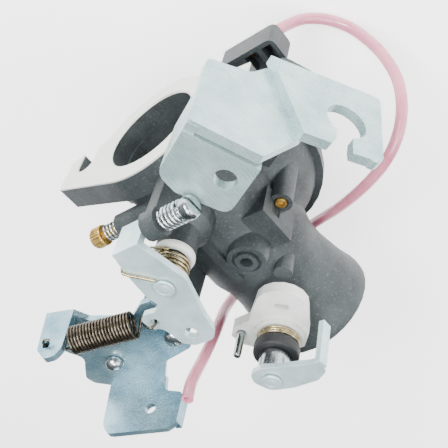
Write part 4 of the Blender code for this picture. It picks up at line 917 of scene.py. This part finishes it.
# ---- Throttle ----
@dataclass
class Throttle:
    """Throttle lever, shaft, plate, collar and both return springs."""

    x: float = 0.0230
    lever_top: float = 0.0459
    tower_top: float = 0.0330
    return_low: float = 0.0358
    return_high: float = 0.0436
    return_r: float = 0.0050
    hook_a: Point = (0.0332, -0.0127, 0.0449)
    hook_b: Point = (0.0222, -0.0442, 0.0522)
    hook_turn: float = math.radians(165.0)
    coil_r: float = 0.0039
    wire_r: float = 0.00045
    coils: float = 20.0

    def lever(self) -> None:
        """The pressed lever, the shaft and its peened head."""
        # The lever takes the pale copy of the zinc sheet: painted light.
        fit(Refined("throttle_lever_pressing", "throttle_lever", LIT_ZINC, 0.0003).build(), "throttle",
            "zinc_plate", "throttle_lever")
        for node in ("throttle_shaft", "throttle_plate_screw_1", "throttle_plate_screw_2"):
            dress(node, TURNED_STEEL)
        dress("throttle_plate", BRASS)
        peened_head("throttle", self.x, self.lever_top + GAP)

    def collar(self) -> None:
        """The white collar on the shaft's tower."""
        low = self.tower_top + GAP
        profile = [(0.0041, low), (0.0062, low), (0.0062, low + 0.0014), (0.0056, low + 0.0022),
                   (0.0041, low + 0.0022)]
        piece = Turned("nylon_collar", profile, (self.x, 0.0, 0.0), NYLON, ring=True, soft=0.0004)
        fit(piece.build(), ROOT, "nylon", "throttle_collar")

    def return_spring(self) -> None:
        """The torsion spring round the shaft: a helix whose upper leg hooks over the lever's edge."""
        low, high = self.return_low + self.wire_r, self.return_high - self.wire_r
        over = self.lever_top + self.wire_r + 0.0001
        coil = helix(self.return_r, 5.0, low, high, math.radians(150.0))
        first, last = coil[0], coil[-1]
        legs_in = np.array([first + (-0.0032, -0.0045, 0.0), first + (-0.0012, -0.0016, 0.0)])
        leg = np.array([last + (-0.0012, -0.0021, 0.0), (-0.0092, -0.0062, high),
                        (-0.0102, -0.0067, high + 0.0006), (-0.0105, -0.0069, 0.5 * (high + over)),
                        (-0.0101, -0.0067, over - 0.0004), (-0.0093, -0.0062, over),
                        (-0.0064, -0.0032, over), (-0.0034, -0.0001, over)])
        line = np.concatenate([legs_in, coil, smooth_line(leg, 5)]) + (self.x, 0.0, 0.0)
        spring = wire_piece("throttle_torsion_spring", line, self.wire_r, STRAW_WIRE)
        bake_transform(spring)
        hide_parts("throttle_return_spring")

    def hook(self, hole: np.ndarray, through: np.ndarray, away: np.ndarray) -> np.ndarray:
        """A hook's line: an open loop through the hole that leaves along the spring.

        Args:
            hole: the middle of the hole.
            through: the way through the sheet.
            away: the way from this hook to the other.

        Returns:
            Seven points from the hook's free end to the coil.
        """
        reach = 0.0028
        steps = ((0.9, 0.0020), (1.05, 0.0006), (0.6, -0.0004), (0.0, 0.0), (-0.6, 0.0001),
                 (-1.0, 0.0016), (-0.95, 0.0046))
        return np.array([hole + through * reach * side + away * along for side, along in steps])

    def extension_spring(self) -> None:
        """The close-wound spring between the lever and the bracket's tab, hooked at both ends."""
        a, b = np.array(self.hook_a), np.array(self.hook_b)
        length = float(np.linalg.norm(b - a))
        along = (b - a) / length
        coil = helix(self.coil_r, self.coils, 0.20 * length, 0.77 * length, 0.0, 24)
        coil = a + coil @ axes_of(along)
        across = np.array((math.cos(self.hook_turn), math.sin(self.hook_turn), 0.0))
        into = self.hook(a, np.array(UP), along)
        out = self.hook(b, across, -along)[::-1]
        line = np.concatenate([smooth_line(np.concatenate([into, coil[:1]]), 8)[:-1], coil,
                               smooth_line(np.concatenate([coil[-1:], out]), 8)[1:]])
        spring = wire_piece("lever_extension_spring", line, self.wire_r, DARK_WIRE, 10)
        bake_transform(spring)
        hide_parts("extension_spring")

    def build(self) -> None:
        """Builds the throttle's pieces."""
        self.lever()
        self.collar()
        self.return_spring()
        self.extension_spring()


# ---- Adjusting screws ----
@dataclass
class Screws:
    """Idle stop screw and mixture screw, each with its spring."""

    idle: Point = (0.0076, 0.0, 0.0393)
    idle_axis: Point = (0.0, 1.0, 0.0)
    idle_r: float = 0.0020
    idle_wire_r: float = 0.00045
    mixture: Point = (0.0152, 0.0, 0.0196)
    mixture_axis: Point = (0.0, -1.0, 0.0)
    mixture_r: float = 0.0016
    mixture_wire_r: float = 0.0004
    knurls: float = 24.0
    pitch: float = 0.0007
    slot_half: float = 0.0005

    def thread(self, low: float, high: float, root: float, crest: float) -> Shape:
        """Winds a thread between two heights.

        The radius falls from crest to root and back once a pitch, and the phase moves on by one
        pitch a turn.

        Args:
            low: where the thread begins.
            high: where it ends.
            root: its smallest radius.
            crest: its largest radius.

        Returns:
            A function of angle, height and radius that gives the new radius.
        """
        def shape(angle: np.ndarray, height: np.ndarray, radius: np.ndarray) -> np.ndarray:
            """Radius with the thread's wave taken off it."""
            phase = (height / self.pitch - angle / (2.0 * np.pi)) % 1.0
            depth = (crest - root) * np.abs(2.0 * phase - 1.0)
            inside = (height > low) & (height < high) & (radius > root)
            return np.where(inside, radius - depth, radius)
        return shape

    def idle_screw(self) -> None:
        """Idle stop screw with a slotted cheese head and an open spring, along +Y."""
        stem = np.linspace(0.0057, 0.0184, 130)
        head = [(self.idle_r, 0.0185), (0.0033, 0.0185), (0.0034, 0.0207), (0.0028, 0.0216),
                (0.0004, 0.0217)]
        rows = np.concatenate([[(0.0012, 0.0047), (0.0018, 0.0053)],
                               np.stack([np.full(len(stem), self.idle_r), stem], axis=1),
                               softened(head, 0.0003)])
        screw = Turned("idle_screw_threaded", [], self.idle, TURNED_STEEL, self.idle_axis, rows=rows,
                       shape=self.thread(0.0056, 0.0185, 0.00175, self.idle_r)).build()
        x, z, half = self.idle[0], self.idle[2], self.slot_half
        engrave(screw, (x - 0.006, 0.0205, z - half), (x + 0.006, 0.025, z + half))
        fit(screw, "idle_screw", "steel", "idle_stop_screw")
        coil = helix(0.0029, 5.0, 0.0109 + self.idle_wire_r, 0.0182 - self.idle_wire_r)
        line = np.array(self.idle) + coil @ axes_of(self.idle_axis)
        spring = wire_piece("idle_spring_bright", line, self.idle_wire_r, BRIGHT_WIRE)
        fit(spring, ROOT, "steel", "idle_screw_spring")

    def mixture_screw(self) -> None:
        """Brass mixture screw: taper, thread and a knurled head, along -Y."""
        stem = np.linspace(0.0126, 0.0250, 110)
        head = [(self.mixture_r, 0.0256), (0.0030, 0.0256), (0.0034, 0.0260), (0.0034, 0.0296),
                (0.0028, 0.0302), (0.0004, 0.0302)]
        rows = np.concatenate([[(0.0003, 0.0076)],
                               np.stack([np.full(len(stem), self.mixture_r), stem], axis=1),
                               softened(head, 0.0002, 5)])
        wind = self.thread(0.0126, 0.0186, 0.0014, self.mixture_r)

        def shape(angle: np.ndarray, height: np.ndarray, radius: np.ndarray) -> np.ndarray:
            """The thread, and in the head a ripple round the rim, deepest once a knurl."""
            knurl = 0.00022 * (0.5 + 0.5 * np.cos(self.knurls * angle))
            rim = (height > 0.0258) & (radius > 0.0031)
            return wind(angle, height, np.where(rim, radius - knurl, radius))

        screw = Turned("mixture_screw_knurled", [], self.mixture, BRASS, self.mixture_axis,
                       segments=120, rows=rows, shape=shape).build()
        x, z, half = self.mixture[0], self.mixture[2], self.slot_half
        engrave(screw, (x - 0.006, -0.034, z - half), (x + 0.006, -0.0290, z + half))
        fit(screw, "mixture_screw", "brass", "mixture_screw")
        coil = helix(0.0024, 4.0, 0.0188 + self.mixture_wire_r, 0.0253 - self.mixture_wire_r)
        line = np.array(self.mixture) + coil @ axes_of(self.mixture_axis)
        spring = wire_piece("mixture_spring_bright", line, self.mixture_wire_r, BRIGHT_WIRE)
        fit(spring, ROOT, "steel", "mixture_screw_spring")

    def build(self) -> None:
        """Builds both screws."""
        self.idle_screw()
        self.mixture_screw()


# ---- Choke ----
@dataclass
class Choke:
    """Choke lever, cam, spring, ring, hub, pin, shaft and plate."""

    x: float = 0.0732
    lever_top: float = 0.0432
    wire_r: float = 0.0004

    def stack(self) -> None:
        """Ring, hub and spring between the cam and the lever."""
        place = (self.x, 0.0, 0.0)
        ring = [(0.0035, 0.0302), (0.0070, 0.0302), (0.0074, 0.0308), (0.0074, 0.0338),
                (0.0070, 0.0344), (0.0035, 0.0344)]
        piece = Turned("rubber_ring", ring, place, RUBBER, ring=True, soft=0.0006).build()
        fit(piece, "choke", "rubber", "choke_ring")
        hub = [(0.0035, 0.0347), (0.0050, 0.0347), (0.0050, 0.0411), (0.0035, 0.0411)]
        piece = Turned("lever_hub", hub, place, TURNED_STEEL, ring=True, soft=0.0004).build()
        fit(piece, "choke", "steel", "choke_hub")
        low = 0.0269 + self.wire_r
        coil = helix(0.0066, 2.5, low, low + 0.0022, math.radians(30.0))
        last = coil[-1]
        line = np.concatenate([coil, [last + (-0.0008, 0.0030, 0.0), last + (0.0012, 0.0060, -0.0002)]])
        spring = wire_piece("choke_torsion_spring", line + place, self.wire_r, STRAW_WIRE)
        fit(spring, "choke", "spring_wire", "choke_spring")

    def lever(self) -> None:
        """Pressed lever, the shaft's peened head, and the cam with its pin."""
        # The choke lever takes the pale copy of the zinc sheet: painted light.
        piece = Refined("choke_lever_pressing", "choke_lever", LIT_ZINC, 0.0003).build()
        fit(piece, "choke", "zinc_plate", "choke_lever")
        piece = Refined("choke_cam_moulding", "choke_cam", NYLON, 0.0005).build()
        fit(piece, "choke_cam", "nylon", "choke_cam")
        pin = [(0.0018, 0.0198), (0.0022, 0.0206), (0.0022, 0.0213), (0.0013, 0.0213), (0.0013, 0.0344),
               (0.0010, 0.0350), (0.0004, 0.0351)]
        place = (self.x - 0.0060, -0.0108, 0.0)
        piece = Turned("cam_pin_turned", pin, place, TURNED_STEEL, soft=0.0003).build()
        fit(piece, "choke_cam", "steel", "cam_pin")
        for node in ("choke_shaft", "choke_plate_screw_1", "choke_plate_screw_2"):
            dress(node, TURNED_STEEL)
        dress("choke_plate", BRASS)
        peened_head("choke", self.x, self.lever_top + GAP)

    def build(self) -> None:
        """Builds the choke's pieces."""
        self.stack()
        self.lever()


def main() -> None:
    """Builds the camera and the hose, then every sub-assembly."""
    logging.basicConfig(level=logging.INFO, format="%(message)s")
    studio = Studio()
    studio.camera()
    hose = VentHose()
    hose.build()
    hose.nipple()
    for assembly in (Chamber(), Brackets(), Throttle(), Screws(), Choke(), studio):
        assembly.build()


if __name__ == "__main__":
    main()
